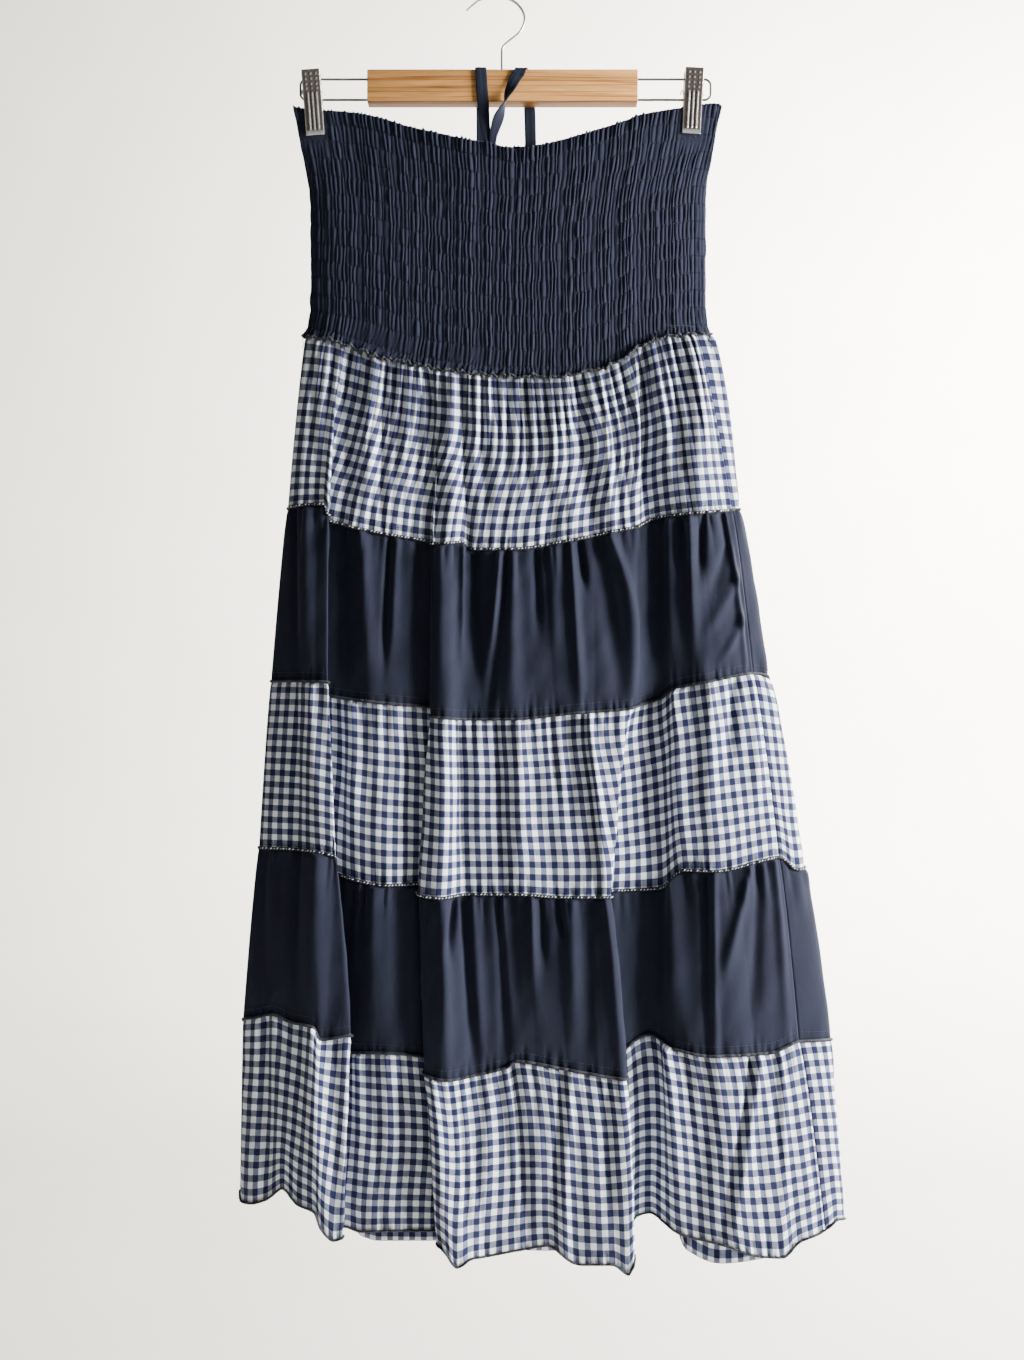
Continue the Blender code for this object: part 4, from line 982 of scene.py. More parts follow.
@lru_cache(maxsize=None)
def navy_cotton(shirred=False):
    """Plain weave in navy, a little paler where it is rubbed."""
    colour = toned(tuple(bpy.context.scene.dress_colours.navy), SHIRRED_TONE if shirred else 1.0)
    recipe = Recipe("shirred_cotton" if shirred else "navy_cotton")
    cloth_map = recipe.node("UVMap", uv_map="cloth").outputs["UV"]
    height = weave_height(recipe, cloth_map)
    slub = recipe.noise(recipe.stretched(cloth_map, (1.0, 0.1, 1.0)), 700.0, 3.0)
    cloud = recipe.noise(cloth_map, 26.0, 3.0)
    tone = recipe.worked("MULTIPLY_ADD", slub, 0.45, recipe.worked("MULTIPLY", cloud, 0.35))
    tone = recipe.worked("MULTIPLY_ADD", height, 0.16, tone)
    stops = ((0.2, toned(colour, 0.72)), (0.5, colour), (0.85, toned(colour, 1.45)))
    base = recipe.ramp(tone, stops)
    # The shirred copy gets painted shade along its stitched rows.
    if shirred:
        base = recipe.darkened(base, row_shade(recipe, cloth_map))
    recipe.look(Base_Color=base)
    finish_cloth(recipe, cloth_map, height, 0.07, (0.50, 0.60, 0.90))
    return recipe.material


@lru_cache(maxsize=None)
def gingham_cotton():
    """Woven check: dyed and undyed yarns in turn, both ways."""
    sizes, colours = bpy.context.scene.dress_sizes, bpy.context.scene.dress_colours
    recipe = Recipe("gingham_cotton")
    cloth_map = recipe.node("UVMap", uv_map="cloth").outputs["UV"]
    drift = recipe.worked("MULTIPLY_ADD", recipe.noise(cloth_map, 60.0, 2.0), 0.0006, -0.0003)
    stripes = []
    for part in recipe.parts(cloth_map)[:2]:
        place = recipe.worked("ADD", part, drift)
        turn = recipe.worked("SINE", recipe.worked("MULTIPLY", place, 2 * math.pi / sizes.check))
        stripes.append(recipe.worked("MULTIPLY_ADD", turn, 4.5, 0.5, clamp=True))
    height = weave_height(recipe, cloth_map)
    upright = recipe.noise(recipe.stretched(cloth_map, (1.0, 0.07, 1.0)), 1100.0, 2.0)
    level = recipe.noise(recipe.stretched(cloth_map, (0.07, 1.0, 1.0)), 1100.0, 2.0)
    over = recipe.worked("MULTIPLY_ADD", height, 0.36, 0.32)
    over = recipe.worked("MULTIPLY_ADD", recipe.worked("SUBTRACT", upright, level), 0.16, over)
    over = recipe.worked("MAXIMUM", over, 0.04, clamp=True)
    under = recipe.worked("SUBTRACT", 1.0, over)
    dyed = recipe.worked("MULTIPLY_ADD", stripes[0], over, recipe.worked("MULTIPLY", stripes[1], under))
    stops = ((0.0, tuple(colours.white)), (0.5, tuple(colours.half)), (1.0, tuple(colours.dark)))
    recipe.look(Base_Color=recipe.ramp(dyed, stops))
    finish_cloth(recipe, cloth_map, height, 0.10, (0.9, 0.93, 1.0))
    return recipe.material


@lru_cache(maxsize=None)
def thread(name, factor=1.0):
    """Twisted sewing thread, white or as dark as the navy cloth."""
    colours = bpy.context.scene.dress_colours
    colour = tuple(colours.white) if name == "white_thread" else toned(tuple(colours.navy), factor)
    recipe = Recipe(name)
    twist = recipe.noise(recipe.place, 2200.0, 2.0)
    stops = ((0.3, toned(colour, 0.7)), (0.7, toned(colour, 1.25)))
    recipe.look(Base_Color=recipe.ramp(twist, stops), Normal=recipe.bump(twist, 0.5, 0.0002),
                Roughness=0.7, Sheen_Weight=0.05)
    return recipe.material


@lru_cache(maxsize=None)
def bar_wood():
    """Pale brown wood with its grain along the bar and a satin lacquer, with painted shade along its rounded
    lower edge.
    """
    colour = tuple(bpy.context.scene.dress_colours.wood)
    recipe = Recipe("bar_wood")
    warp = recipe.noise(recipe.stretched(recipe.place, (6.0, 30.0, 30.0)), 1.0, 3.0)
    aside = recipe.node("CombineXYZ", {"Z": recipe.worked("MULTIPLY", warp, 6.0)}).outputs["Vector"]
    along = recipe.stretched(recipe.place, (9.0, 190.0, 260.0))
    warped = recipe.node("VectorMath", {0: along, 1: aside}, operation="ADD").outputs["Vector"]
    grain = recipe.noise(warped, 1.0, 6.0, 0.62)
    pores = recipe.noise(recipe.stretched(recipe.place, (60.0, 900.0, 1400.0)), 1.0, 2.0)
    tone = recipe.worked("MULTIPLY_ADD", pores, 0.22, recipe.worked("MULTIPLY", grain, 0.85))
    stops = ((0.28, toned(colour, 0.42)), (0.46, toned(colour, 0.8)),
             (0.6, colour), (0.82, toned(colour, 1.35)))
    # Painted shade: the lowest millimetre of the bar, its rounded lower edge, is darkened as if the
    # underside were in shadow.
    above_foot = recipe.node("MapRange", {"Value": recipe.parts(recipe.place)["Z"],
                                          "From Min": -(BAR_BOTTOM_DROP - 0.3) * MM,
                                          "From Max": -(BAR_BOTTOM_DROP - 1.1) * MM})
    underside_shade = recipe.ramp(above_foot.outputs["Result"], ((0.0, (0.30, 0.25, 0.21)), (1.0, WHITE)))
    rings = recipe.noise(recipe.stretched(recipe.place, (2.5, 40.0, 150.0)), 1.0, 2.0, 0.4)
    lines = recipe.ramp(rings, ((0.50, WHITE), (0.55, (0.48, 0.38, 0.30)), (0.60, WHITE)))
    recipe.look(Base_Color=recipe.darkened(recipe.darkened(recipe.ramp(tone, stops), underside_shade), lines),
                Roughness=recipe.worked("MULTIPLY_ADD", grain, 0.25, 0.42),
                Normal=recipe.bump(tone, 0.25, 0.0003),
                Specular_IOR_Level=0.22)
    return recipe.material


@lru_cache(maxsize=None)
def bright_plating(name, roughness, tone):
    """Plated steel with fine scuffs, a little grime, and painted shade in the hollows marked on each piece.
    """
    colour = toned(tuple(bpy.context.scene.dress_colours.metal), tone)
    recipe = Recipe(name)
    scuffs = recipe.noise(recipe.stretched(recipe.place, (1.0, 1.0, 0.15)), 1600.0, 3.0)
    grime = recipe.noise(recipe.place, 210.0, 4.0)
    stops = ((0.30, toned(colour, 0.75)), (0.45, toned(colour, 0.95)), (0.7, colour))
    # Painted shade: where a piece marks a hollow, the plating is darkened as if in shadow.
    recess = recipe.node("Attribute", attribute_name="recess").outputs["Fac"]
    dark = recipe.ramp(recess, ((0.25, WHITE), (0.95, (0.34, 0.29, 0.27))))
    recipe.look(Base_Color=recipe.darkened(recipe.ramp(grime, stops), dark),
                Roughness=recipe.worked("MULTIPLY_ADD", scuffs, 0.22, roughness - 0.08),
                Normal=recipe.bump(scuffs, 0.12, 0.0001),
                Metallic=0.8)
    return recipe.material


def finish_piece(thing, slot, *nodes):
    """Hang a piece on the body and hide the solids it stands for."""
    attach(thing, BODY)
    if nodes:
        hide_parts(*nodes)


def add_object(name, mesh, material):
    """Link a mesh as an object with its material."""
    mesh.name = name
    thing = bpy.data.objects.new(name, mesh)
    mesh.materials.append(material)
    bpy.context.collection.objects.link(thing)
    return thing


def mesh_of(shape):
    """Mesh of a bmesh, which is freed."""
    mesh = bpy.data.meshes.new("piece")
    shape.to_mesh(mesh)
    shape.free()
    return mesh


def grid_mesh(rows, columns):
    """Flat grid with its row and column numbers, top row first, left column first."""
    shape = bmesh.new()
    bmesh.ops.create_grid(shape, x_segments=columns, y_segments=rows, size=1.0)
    mesh = mesh_of(shape)
    flat = np.zeros(len(mesh.vertices) * 3)
    mesh.vertices.foreach_get("co", flat)
    flat = flat.reshape(-1, 3)
    row = np.round((1.0 - flat[:, 1]) / 2 * rows).astype(int)
    column = np.round((flat[:, 0] + 1.0) / 2 * columns).astype(int)
    return mesh, row, column


def move_points(mesh, points):
    """Lay a mesh's points on new places."""
    mesh.vertices.foreach_set("co", np.ascontiguousarray(points, dtype=np.float32).ravel())
    mesh.update()


def map_cloth(mesh, along, down):
    """Give a mesh its cloth map, in metres of cloth, from a value at each point."""
    corners = np.zeros(len(mesh.loops), dtype=np.int32)
    mesh.loops.foreach_get("vertex_index", corners)
    layer = mesh.uv_layers.new(name="cloth")
    layer.data.foreach_set("uv", np.column_stack((along[corners], down[corners])).astype(np.float32).ravel())


def cloth_lengths(surface, width):
    """How far each point is along the cut cloth: the creases take up their own share of it."""
    steps = np.linalg.norm(np.diff(surface.points, axis=1), axis=2)
    length = np.concatenate((np.zeros((len(steps), 1)), np.cumsum(steps, axis=1)), axis=1)
    along = length / length[:, -1:] * width
    apart = np.abs(surface.share[:, None] - surface.share[None, :])
    weights = bell(apart, YARN_STIFFNESS)
    return weights @ along / weights.sum(axis=1)[:, None]


def even_drops(surface):
    """How far each point is down the cut cloth, by its share of the height."""
    return np.broadcast_to((surface.share * surface.height * MM)[:, None], surface.run.shape)


def cloth_drops(surface):
    """How far each point is down the cut cloth: checks even out the steps of the two edges."""
    inside = np.clip(surface.share, 0.0, 1.0)[:, None]
    falls = -surface.points[..., 2]
    straight = falls[1] + (falls[-1] - falls[1]) * inside
    middle = surface.run[len(surface.run) // 2]
    weights = bell(middle[:, None] - middle[None, :], CHECK_EVENING)
    evened = straight @ weights.T / weights.sum(axis=1)
    return even_drops(surface) + np.sin(math.pi * inside) * (straight - evened)


def cloth_mesh(surface, width, drops):
    """Grid laid on a panel's finished surface, with its cloth map."""
    mesh, row, column = grid_mesh(surface.run.shape[0] - 1, surface.run.shape[1] - 1)
    move_points(mesh, surface.points[row, column])
    map_cloth(mesh, cloth_lengths(surface, width)[row, column], -drops[row, column])
    mesh.shade_smooth()
    return mesh


def add_solidify(thing, thickness, offset=-1.0):
    """Give a sheet its thickness, inwards unless it is told otherwise."""
    solidify = thing.modifiers.new("thickness", "SOLIDIFY")
    solidify.thickness = thickness
    solidify.offset = offset


def soft_box(middle, size, edge, segments):
    """Mesh of a box with its edges rounded."""
    shape = bmesh.new()
    bmesh.ops.create_cube(shape, size=1.0, matrix=Matrix.LocRotScale(middle, None, size))
    bmesh.ops.bevel(shape, geom=shape.edges[:], offset=edge * MM, segments=segments, profile=0.5,
                    affect="EDGES", material=-1)
    mesh = mesh_of(shape)
    mesh.shade_smooth()
    return mesh


def line_at(surface, share):
    """Points and outward directions of a panel at one share of its height."""
    row = int(np.clip(np.searchsorted(surface.share, share), 1, len(surface.share) - 1))
    span = surface.share[row] - surface.share[row - 1]
    blend = np.clip((share - surface.share[row - 1]) / span, 0.0, 1.0)
    points = surface.points[row - 1] * (1 - blend) + surface.points[row] * blend
    outward = surface.outward[row - 1] * (1 - blend) + surface.outward[row] * blend
    return points, outward


def rows_at(at, length, values):
    """Rows of three values part way along a line."""
    return np.column_stack([np.interp(at, length, values[:, axis]) for axis in range(3)])


def unit(directions):
    """Directions brought to a length of one."""
    return directions / np.linalg.norm(directions, axis=1)[:, None]


def step_along(points, outward, pitch):
    """Even steps along a line: middles, directions along and outward."""
    length = run_along(points)
    count = max(int(length[-1] / pitch), 1)
    at = (np.arange(1, count - 1) + 0.5) * length[-1] / count
    along = unit(rows_at(at + pitch / 2, length, points) - rows_at(at - pitch / 2, length, points))
    facing = rows_at(at, length, outward)
    facing = unit(facing - along * np.sum(facing * along, axis=1)[:, None])
    return rows_at(at, length, points), along, facing


def stamp_stitches(name, steps, size, lean, material):
    """Join a bead at every step: length, width and height in metres, leaning from the line."""
    whole = bmesh.new()
    for middles, along, facing in steps:
        line = along * math.cos(lean) + np.cross(facing, along) * math.sin(lean)
        axes = np.stack((line, np.cross(facing, line), facing), axis=2) * np.array(size) / 2
        row = bmesh.new()
        for middle, turned in zip(middles, axes):
            place = Matrix.Translation(middle) @ Matrix(turned).to_4x4()
            bmesh.ops.create_icosphere(row, subdivisions=1, radius=1.0, matrix=place)
        mesh = mesh_of(row)
        whole.from_mesh(mesh)
        bpy.data.meshes.remove(mesh)
    mesh = mesh_of(whole)
    mesh.shade_smooth()
    finish_piece(add_object(name, mesh, material), "navy_cotton")


def tube(name, lines, radius, material, bevel_steps=1):
    """Round cords along lines of points, as one mesh."""
    curve = bpy.data.curves.new(name, "CURVE")
    curve.dimensions = "3D"
    curve.bevel_depth = radius
    curve.bevel_resolution = bevel_steps
    curve.use_fill_caps = True
    for points in lines:
        cord = curve.splines.new("POLY")
        cord.points.add(len(points) - 1)
        flat = np.column_stack((np.asarray(points, dtype=float), np.ones(len(points))))
        cord.points.foreach_set("co", flat.ravel())
        cord.use_smooth = True
    carrier = bpy.data.objects.new(name, curve)
    bpy.context.collection.objects.link(carrier)
    graph = bpy.context.evaluated_depsgraph_get()
    mesh = bpy.data.meshes.new_from_object(carrier.evaluated_get(graph))
    bpy.data.objects.remove(carrier)
    bpy.data.curves.remove(curve)
    mesh.shade_smooth()
    mesh.materials.clear()
    return add_object(name, mesh, material)


def ring_line(surface_of, share, lift, lowered=0.0):
    """Line all round the tube: points and outward directions of both panels at one share."""
    lines = []
    for side in SIDES:
        points, outward = line_at(surface_of(side), share)
        length = run_along(points)
        inside = soft_step(np.minimum(length, length[-1] - length), 0.0, LIFT_FADE)[:, None]
        turned = np.abs(outward[:, 1:2]) * inside
        lifted = points + outward * lift * (LEAST_LIFT + (1.0 - LEAST_LIFT) * turned)
        lines.append((lifted - np.array((0.0, 0.0, lowered)), outward))
    return lines


class DRESS_OT_bodice(bpy.types.Operator):
    """Make the shirred front and back of the bodice"""
    bl_idname = "dress.bodice"
    bl_label = "Bodice"

    def execute(self, context):
        """Pucker the outside over a plain inside and close the edges."""
        for side in SIDES:
            shape = bmesh.new()
            for surface in (bodice_surface(side), bodice_lining(side)):
                length = surface.run[:, -1].mean() * MM
                mesh = cloth_mesh(surface, length * BODICE_STRETCH, even_drops(surface))
                shape.from_mesh(mesh)
                bpy.data.meshes.remove(mesh)
            rims = [edge for edge in shape.edges if edge.is_boundary]
            bmesh.ops.bridge_loops(shape, edges=rims)
            bmesh.ops.recalc_face_normals(shape, faces=shape.faces)
            if shape.calc_volume(signed=True) < 0:
                bmesh.ops.reverse_faces(shape, faces=shape.faces)
            mesh = mesh_of(shape)
            mesh.shade_smooth()
            panel = add_object(f"shirred_{side}", mesh, navy_cotton(True))
            finish_piece(panel, "navy_cotton", f"bodice_{side}")
            cut = bodice_surface(side).run[:, -1].mean() * MM * BODICE_CUT
        return {"FINISHED"}


class DRESS_OT_tiers(bpy.types.Operator):
    """Make the five gathered tiers of the skirt"""
    bl_idname = "dress.tiers"
    bl_label = "Tiers"

    def execute(self, context):
        """Lay each panel on its folds, gathers and creases."""
        sizes = context.scene.dress_sizes
        for tier in range(TIER_COUNT):
            plain = tier % 2 == 1
            material = navy_cotton() if plain else gingham_cotton()
            slot = "navy_cotton" if plain else "gingham_cotton"
            for side in SIDES:
                surface = tier_surface(tier, side)
                width = surface.run[-1, -1] * MM * sizes.fullness
                mesh = cloth_mesh(surface, width, cloth_drops(surface))
                panel = add_object(f"skirt_{tier + 1}_{side}", mesh, material)
                add_solidify(panel, sizes.cloth)
                finish_piece(panel, slot, f"tier_{tier + 1}_{side}")
        return {"FINISHED"}


class DRESS_OT_ties(bpy.types.Operator):
    """Make the two halter ties"""
    bl_idname = "dress.ties"
    bl_label = "Ties"

    def execute(self, context):
        """Carry a flat folded tube along each tie's route over the bar."""
        for name, table in TIES.items():
            keys = np.array(table, dtype=float)
            rows = (len(keys) - 1) * TIE_STEPS
            route = open_curve(keys, np.linspace(0, len(keys) - 1, rows + 1))
            middles = np.column_stack((route[:, 0], -route[:, 2], -route[:, 1])) * MM
            ahead = unit(np.gradient(middles, axis=0))
            spread = np.linspace(-1.0, 1.0, TIE_COLUMNS + 1)
            relief = TIE_CROWN * (1.0 - spread ** 2)
            relief -= TIE_CREASE * bell(spread - TIE_CREASE_PLACE, TIE_CREASE_WIDTH)
            points = np.zeros((rows + 1, TIE_COLUMNS + 1, 3))
            for index in range(rows + 1):
                forward = Vector(ahead[index])
                side = Vector((1.0, 0.0, 0.0))
                side = (side - forward * side.dot(forward)).normalized()
                side = Matrix.Rotation(math.radians(route[index, 3]), 3, forward) @ side
                face = side.cross(forward)
                offset = np.outer(spread * route[index, 4] / 2, side) + np.outer(relief, face)
                points[index] = middles[index] + offset * MM
            mesh, row, column = grid_mesh(rows, TIE_COLUMNS)
            move_points(mesh, points[row, column])
            run = run_along(middles)
            map_cloth(mesh, spread[column] * TIE_MAP_WIDTH, -run[row])
            mesh.shade_smooth()
            tie = add_object(f"halter_{name}", mesh, navy_cotton())
            add_solidify(tie, TIE_THICKNESS, 0.0)
            rounding = tie.modifiers.new("rounding", "SUBSURF")
            rounding.levels = 1
            rounding.render_levels = 1
            finish_piece(tie, "navy_cotton", name)
        return {"FINISHED"}


class DRESS_OT_seams(bpy.types.Operator):
    """Sew the overlocked edges and top stitching of the waist, the seams and the hem"""
    bl_idname = "dress.seams"
    bl_label = "Seams"

    def execute(self, context):
        """Roll each edge, wrap it in overlock and top stitch above it."""
        sizes = context.scene.dress_sizes
        navy, white = thread("navy_thread"), thread("white_thread")
        self.sew_edge("waist_edge", bodice_surface, WAIST_RADIUS, (navy, navy), sizes)
        for tier in range(TIER_COUNT):
            surface_of = partial(tier_surface, tier)
            last = tier == TIER_COUNT - 1
            name = "hem" if last else f"seam_{tier + 1}"
            threads = (navy, white if tier in WHITE_DASHES else navy)
            self.sew_edge(name + "_edge", surface_of, HEM_RADIUS if last else BAND_RADIUS, threads, sizes)
            if not last:
                share = 1.0 - sizes.topstitch_height / (surface_of("front").height * MM)
                lines = ring_line(surface_of, share, TOPSTITCH_LIFT)
                steps = [step_along(*line, sizes.topstitch_pitch) for line in lines]
                stamp_stitches(name + "_topstitch", steps, TOPSTITCH_SIZE, 0.0, navy)
        loose = []
        for route in LOOSE_THREADS:
            points = open_curve(route, np.linspace(0, len(route) - 1, LOOSE_STEPS * len(route)))
            loose.append([place_point(*point) for point in points])
        finish_piece(tube("loose_threads", loose, LOOSE_RADIUS, navy), "navy_cotton")
        return {"FINISHED"}

    def sew_edge(self, name, surface_of, radius, threads, sizes):
        """Rolled edge with slanting wraps in two threads."""
        lines = ring_line(surface_of, 1.0, EDGE_LIFT, EDGE_LOWERED)
        roll = tube(name, [points for points, _ in lines], radius, thread("edge_thread", EDGE_TONE))
        finish_piece(roll, "navy_cotton")
        for order, (material, size) in enumerate(zip(threads, (WRAP_SIZE, DASH_SIZE))):
            steps = []
            for points, outward in lines:
                raised = points + outward * radius * WRAP_RISE
                middles, along, facing = step_along(raised, outward, sizes.overlock_pitch)
                middles = middles + along * sizes.overlock_pitch * order / 2
                steps.append((middles, along, facing))
            stamp_stitches(f"{name}_wrap_{order + 1}", steps, size, WRAP_LEAN, material)


class DRESS_OT_shirring(bpy.types.Operator):
    """Sew the rows of elastic thread in the bodice"""
    bl_idname = "dress.shirring"
    bl_label = "Shirring thread"

    def execute(self, context):
        """Lay a short stitch in each pucker of every row."""
        steps = []
        for row in range(SHIRRING_ROWS):
            share = (FIRST_ROW_DROP + SHIRRING_PITCH * row) / BODICE_HEIGHT
            for line in ring_line(bodice_surface, share, SHIRRING_LIFT):
                steps.append(step_along(*line, THREAD_STEP * MM))
        stamp_stitches("shirring_thread", steps, SHIRRING_SIZE, 0.0, thread("edge_thread", EDGE_TONE))
        return {"FINISHED"}


class DRESS_OT_bar(bpy.types.Operator):
    """Make the hanger's wooden bar"""
    bl_idname = "dress.bar"
    bl_label = "Bar"

    def execute(self, context):
        """Cut a plank and soften its edges."""
        middle = place_point((BAR_LEFT + BAR_RIGHT) / 2, 0.0, (BAR_TOP_DROP + BAR_BOTTOM_DROP) / 2)
        size = Vector((BAR_RIGHT - BAR_LEFT, BAR_THICKNESS, BAR_BOTTOM_DROP - BAR_TOP_DROP)) * MM
        mesh = soft_box(middle, size, BAR_EDGE, 3)
        mesh.set_sharp_from_angle(angle=BAR_SHARP)
        finish_piece(add_object("bar", mesh, bar_wood()), "bar_wood", "hanger_bar")
        return {"FINISHED"}


class DRESS_OT_wires(bpy.types.Operator):
    """Bend the hanger's hook and the two wire loops"""
    bl_idname = "dress.wires"
    bl_label = "Hook and wires"

    def execute(self, context):
        """Draw round wires along their routes."""
        plating = bright_plating("plated_wire", 0.3, 1.1)
        route = open_curve(HOOK_ROUTE, np.linspace(0, len(HOOK_ROUTE) - 1, HOOK_POINTS))
        points = [place_point(across, 0.0, drop) for across, drop in route]
        hook = tube("hook", [points], HOOK_WIRE / 2 * MM, plating, WIRE_BEVEL_STEPS)
        finish_piece(hook, "plated_wire", "hanger_hook")
        # Painted reflection: the loops are the hook's plated steel, darkened to stand for the dark
        # surroundings they reflect.
        plating = bright_plating("dull_wire", 0.42, 0.18)
        for name, start, end in (("left", BAR_LEFT, LOOP_LEFT_END), ("right", BAR_RIGHT, LOOP_RIGHT_END)):
            points = self.loop_points(start, end)
            loop = tube(f"loop_{name}", [points], LOOP_WIRE / 2 * MM, plating, WIRE_BEVEL_STEPS)
            finish_piece(loop, "plated_wire", f"wire_{name}")
        return {"FINISHED"}

    def loop_points(self, start, end):
        """Out of the bar's end, round two corners and back."""
        outward = 1.0 if end > start else -1.0
        points = [(start, LOOP_TOP_DROP)]
        corners = ((LOOP_TOP_DROP + LOOP_CORNER, 90), (LOOP_BOTTOM_DROP - LOOP_CORNER, 0))
        for corner_drop, first_angle in corners:
            for step in range(LOOP_CORNER_STEPS + 1):
                angle = math.radians(first_angle - step * 90 / LOOP_CORNER_STEPS)
                points.append((end - outward * LOOP_CORNER * (1 - math.cos(angle)),
                               corner_drop - LOOP_CORNER * math.sin(angle)))
        points.append((start, LOOP_BOTTOM_DROP))
        return [place_point(across, 0.0, drop) for across, drop in points]


class DRESS_OT_clips(bpy.types.Operator):
    """Make the two sprung clips"""
    bl_idname = "dress.clips"
    bl_label = "Clips"

    def execute(self, context):
        """Press the plates, then wind the springs between them."""
        for clip in CLIPS:
            self.plate(clip, 1.0)
            self.plate(clip, -1.0)
            self.spring(clip)
        return {"FINISHED"}

    def plate(self, clip, facing):
        """Channel with raised dots, ribs and a lip, pressed from sheet."""
        profile = np.array(CLIP_PROFILE)
        drops = np.linspace(0.0, profile[-1, 0], PLATE_ROWS + 1)
        forward = monotone(profile[:, 0], profile[:, 1], drops)
        half = CLIP_WIDTH / 2 - PLATE_CORNER
        bulge = half + PLATE_CORNER * np.sin(PLATE_TURN)
        inset = PLATE_CORNER * (1.0 - np.cos(PLATE_TURN))
        face = np.linspace(-half, half, PLATE_FACE_POINTS)
        aside = np.concatenate(([-CLIP_WIDTH / 2], -bulge[::-1], face, bulge, [CLIP_WIDTH / 2]))
        across, down = np.meshgrid(aside, drops)
        fall = np.zeros_like(across)
        fall[:, 1:4], fall[:, -4:-1] = inset[::-1], inset
        fall[:, 0] = fall[:, -1] = np.interp(drops, FLANGE_DROPS, FLANGE_DEPTHS)
        raised = self.ribs(across, down) + self.dots(across, down)
        on_face = np.abs(across) < half
        depth = forward + CLIP_SHEET - fall + np.where(on_face, raised, 0.0)
        points = np.stack((across, -facing * depth, -down), axis=-1) * MM
        lean = math.atan2(clip.bottom_across - clip.top_across, profile[-1, 0])
        turn = np.array(Matrix.Rotation(-lean, 3, "Y"))
        points = points @ turn.T + np.array(place_point(clip.top_across, 0.0, clip.top_drop))
        mesh, row, column = grid_mesh(PLATE_ROWS, len(aside) - 1)
        move_points(mesh, points[row, column])
        if facing < 0:
            mesh.flip_normals()
        mesh.shade_smooth()
        # Painted shade: the hollows between the ribs and dots, above the lip, are marked to be darkened as
        # if in shadow; the flanges are marked too lightly to darken.
        recess = mesh.attributes.new("recess", "FLOAT", "POINT")
        hollow_shade = np.where(on_face, 1.0 - raised / RIB_HEIGHT, FLANGE_RECESS) * (down < RIB_BOTTOM + 1.0)
        recess.data.foreach_set("value", hollow_shade[row, column].astype(np.float32))
        side = "front" if facing > 0 else "back"
        plate = add_object(f"{clip.name}_{side}_plate", mesh, bright_plating("clip_chrome", 0.2, CLIP_TONE))
        add_solidify(plate, PLATE_SHEET)
        finish_piece(plate, "clip_chrome", f"{clip.name}_{side}")

    def ribs(self, across, down):
        """Height of the three upright ribs."""
        begun = soft_step(down, RIB_TOP - 1.0, RIB_TOP + 1.0)
        ended = soft_step(down, RIB_BOTTOM - 1.0, RIB_BOTTOM + 1.0)
        height = np.zeros_like(across)
        for place in RIB_PLACES:
            slope = soft_step(np.abs(across - place), RIB_HALF_WIDTH * 0.5, RIB_HALF_WIDTH * 1.3)
            height = np.maximum(height, 1.0 - slope)
        return RIB_HEIGHT * height * begun * (1.0 - ended)

    def dots(self, across, down):
        """Height of the rows of small raised dots that give the fingers a grip."""
        height = np.zeros_like(across)
        for drop in DIMPLE_DROPS:
            for place in DIMPLE_PLACES:
                distance = np.hypot(across - place, down - drop)
                height = np.maximum(height, 1.0 - soft_step(distance, DIMPLE_FLAT, DIMPLE_RADIUS))
        return DIMPLE_HEIGHT * height

    def spring(self, clip):
        """Bent holder round the wires with a coil spring across it."""
        low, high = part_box(f"{clip.name}_spring")
        middle = (low + high) / 2
        chrome = bright_plating("clip_chrome", 0.2, CLIP_TONE)
        mesh = soft_box(middle, (high - low) * HOLDER_SHARES, HOLDER_EDGE, 4)
        finish_piece(add_object(f"{clip.name}_holder", mesh, chrome), "clip_chrome", f"{clip.name}_spring")
        angles = np.arange(COIL_TURNS * COIL_STEPS + 1) * 2 * math.pi / COIL_STEPS
        length = CLIP_WIDTH + COIL_OVERHANG
        coil = np.column_stack((
            ((angles / angles[-1] - 0.5) * length + clip.inner_side * COIL_ASIDE) * MM + middle.x,
            np.cos(angles) * COIL_RADIUS * MM + middle.y,
            (np.sin(angles) * COIL_RADIUS + COIL_RISE) * MM + low.z,
        ))
        finish_piece(tube(f"{clip.name}_coil", [coil], COIL_WIRE * MM, chrome, 2), "clip_chrome")


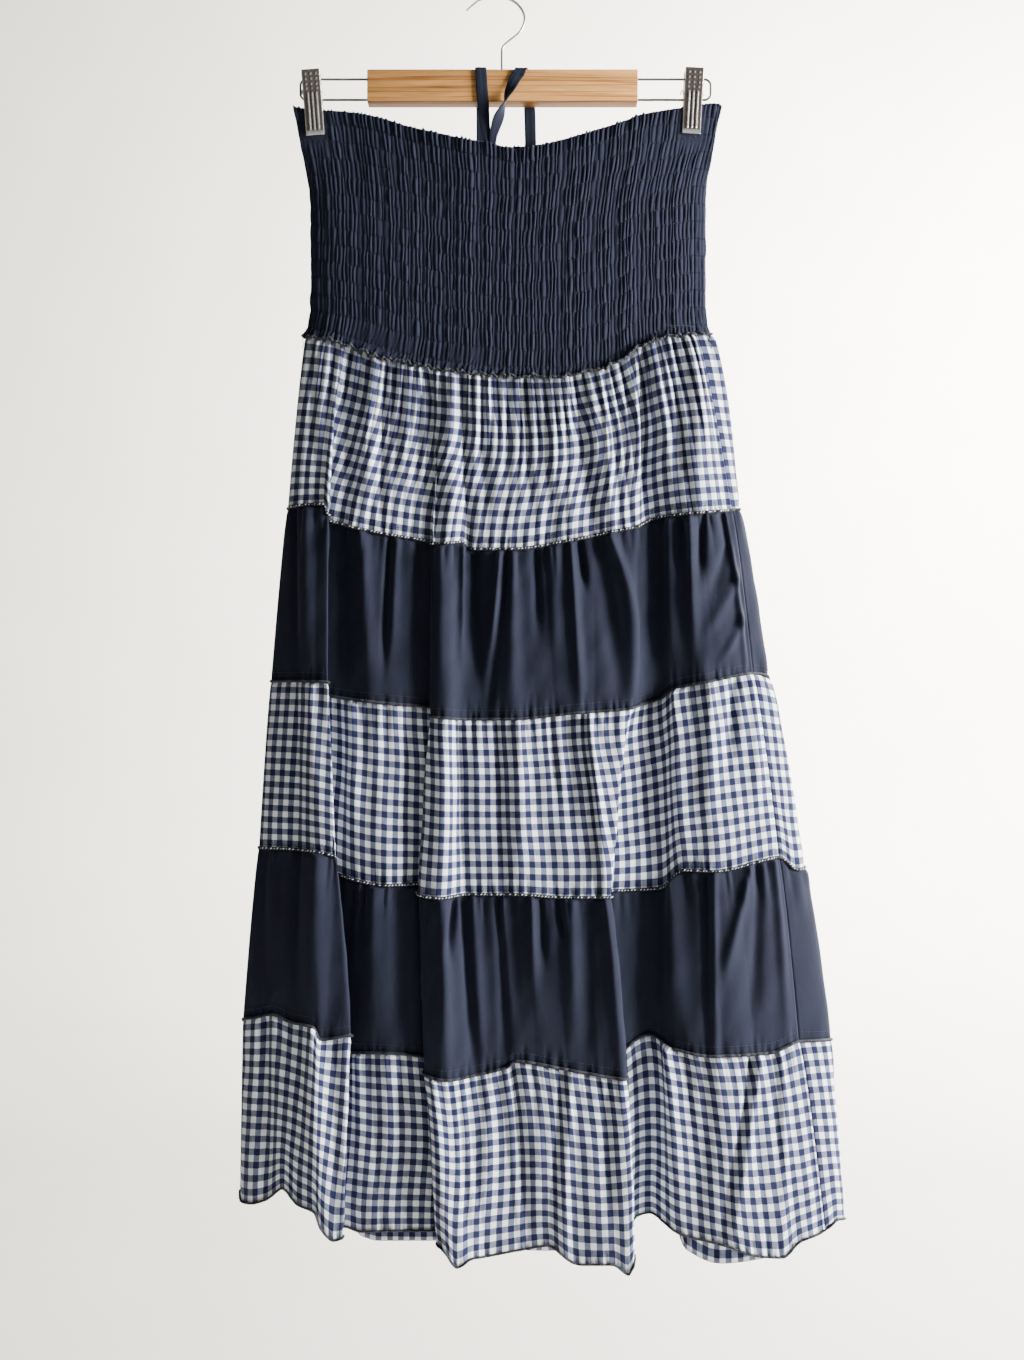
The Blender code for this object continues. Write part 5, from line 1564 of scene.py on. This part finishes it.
class DRESS_OT_studio(bpy.types.Operator):
    """Set the pale floor, the soft lights and the camera"""
    bl_idname = "dress.studio"
    bl_label = "Studio"

    def execute(self, context):
        """Sweep the floor up behind, and hang large soft lights."""
        studio = context.scene.dress_studio
        self.add_camera(context)
        self.add_backdrop(studio)
        for name, (location, target, size, colour) in LIGHTS.items():
            self.add_light(name, location, target, size, getattr(studio, name), colour)
        world = bpy.data.worlds.new("surroundings")
        world.use_nodes = True
        background = world.node_tree.nodes["Background"]
        background.inputs["Color"].default_value = SKY_COLOUR
        background.inputs["Strength"].default_value = studio.sky
        context.scene.world = world
        return {"FINISHED"}

    def add_camera(self, context):
        """Camera level with the middle of the dress, as close as the photograph's."""
        data = bpy.data.cameras.new("camera")
        data.sensor_fit = "VERTICAL"
        data.sensor_height = SENSOR_HEIGHT
        data.lens = SENSOR_HEIGHT / 2 * EYE_DISTANCE / HALF_VIEW
        camera = bpy.data.objects.new("camera", data)
        camera.location = place_point(EYE_ACROSS, EYE_DISTANCE, EYE_DROP)
        camera.rotation_euler = (math.radians(90), 0.0, 0.0)
        context.collection.objects.link(camera)
        context.scene.camera = camera

    def add_backdrop(self, studio):
        """Pale floor that sweeps up into a wide wall well behind the dress."""
        floor = -studio.floor_drop
        bend = BACKDROP_BACK - BACKDROP_SWEEP
        profile = [(BACKDROP_FRONT, floor)]
        for angle in np.linspace(0.0, math.pi / 2, BACKDROP_STEPS + 1):
            profile.append((bend + BACKDROP_SWEEP * math.sin(angle),
                            floor + BACKDROP_SWEEP * (1 - math.cos(angle))))
        profile.append((BACKDROP_BACK, floor + BACKDROP_HEIGHT))
        shape = bmesh.new()
        verts = [shape.verts.new((-BACKDROP_WIDTH, y, z)) for y, z in profile]
        edges = [shape.edges.new(pair) for pair in zip(verts[:-1], verts[1:])]
        made = bmesh.ops.extrude_edge_only(shape, edges=edges)
        moved = [item for item in made["geom"] if isinstance(item, bmesh.types.BMVert)]
        bmesh.ops.translate(shape, vec=Vector((2 * BACKDROP_WIDTH, 0.0, 0.0)), verts=moved)
        bmesh.ops.recalc_face_normals(shape, faces=shape.faces)
        mesh = mesh_of(shape)
        mesh.shade_smooth()
        recipe = Recipe("pale_backdrop")
        grain = recipe.noise(recipe.place, 3.0, 3.0)
        stops = ((0.3, (0.82, 0.81, 0.775)), (0.7, (0.86, 0.85, 0.815)))
        away = recipe.node("MapRange", {"Value": recipe.parts(recipe.place)["Y"],
                                        "From Min": BACKDROP_NEAR, "From Max": BACKDROP_FAR})
        shade = recipe.ramp(away.outputs["Result"], ((0.0, (0.62, 0.62, 0.63)), (1.0, WHITE)))
        recipe.look(Base_Color=recipe.darkened(recipe.ramp(grain, stops), shade), Roughness=0.9)
        add_object("backdrop", mesh, recipe.material)

    def add_light(self, name, location, target, size, power, colour):
        """Large square light that faces the dress."""
        data = bpy.data.lights.new(name, "AREA")
        data.shape = "SQUARE"
        data.size = size
        data.energy = power
        data.color = colour
        light = bpy.data.objects.new(name, data)
        light.location = location
        light.rotation_euler = (target - Vector(location)).to_track_quat("-Z", "Y").to_euler()
        bpy.context.collection.objects.link(light)


OPERATORS = (DRESS_OT_studio, DRESS_OT_bodice, DRESS_OT_tiers, DRESS_OT_ties, DRESS_OT_seams,
             DRESS_OT_shirring, DRESS_OT_bar, DRESS_OT_wires, DRESS_OT_clips)
SETTINGS = {"dress_sizes": DressSizes, "dress_colours": DressColours, "dress_studio": StudioSettings}


class DRESS_PT_panel(bpy.types.Panel):
    """Sizes, colours and the steps that make the dress"""
    bl_idname = "DRESS_PT_panel"
    bl_label = "Halter dress"
    bl_space_type = "VIEW_3D"
    bl_region_type = "UI"
    bl_category = "Halter dress"

    def draw(self, context):
        """Show the settings, then a button for each step."""
        for name in SETTINGS:
            settings = getattr(context.scene, name)
            box = self.layout.box()
            for key in settings.bl_rna.properties.keys():
                if key not in ("rna_type", "name"):
                    box.prop(settings, key)
        for operator in OPERATORS:
            self.layout.operator(operator.bl_idname)


def register():
    """Register the settings, the operators and the panel."""
    for name, group in SETTINGS.items():
        bpy.utils.register_class(group)
        setattr(bpy.types.Scene, name, PointerProperty(type=group))
    for operator in OPERATORS:
        bpy.utils.register_class(operator)
    bpy.utils.register_class(DRESS_PT_panel)


def unregister():
    """Take all of it away again."""
    bpy.utils.unregister_class(DRESS_PT_panel)
    for operator in reversed(OPERATORS):
        bpy.utils.unregister_class(operator)
    for name, group in SETTINGS.items():
        delattr(bpy.types.Scene, name)
        bpy.utils.unregister_class(group)


def main():
    """Make the stage, the dress and its hanger."""
    register()
    for operator in OPERATORS:
        group, step = operator.bl_idname.split(".")
        getattr(getattr(bpy.ops, group), step)()


if __name__ == "__main__":
    main()
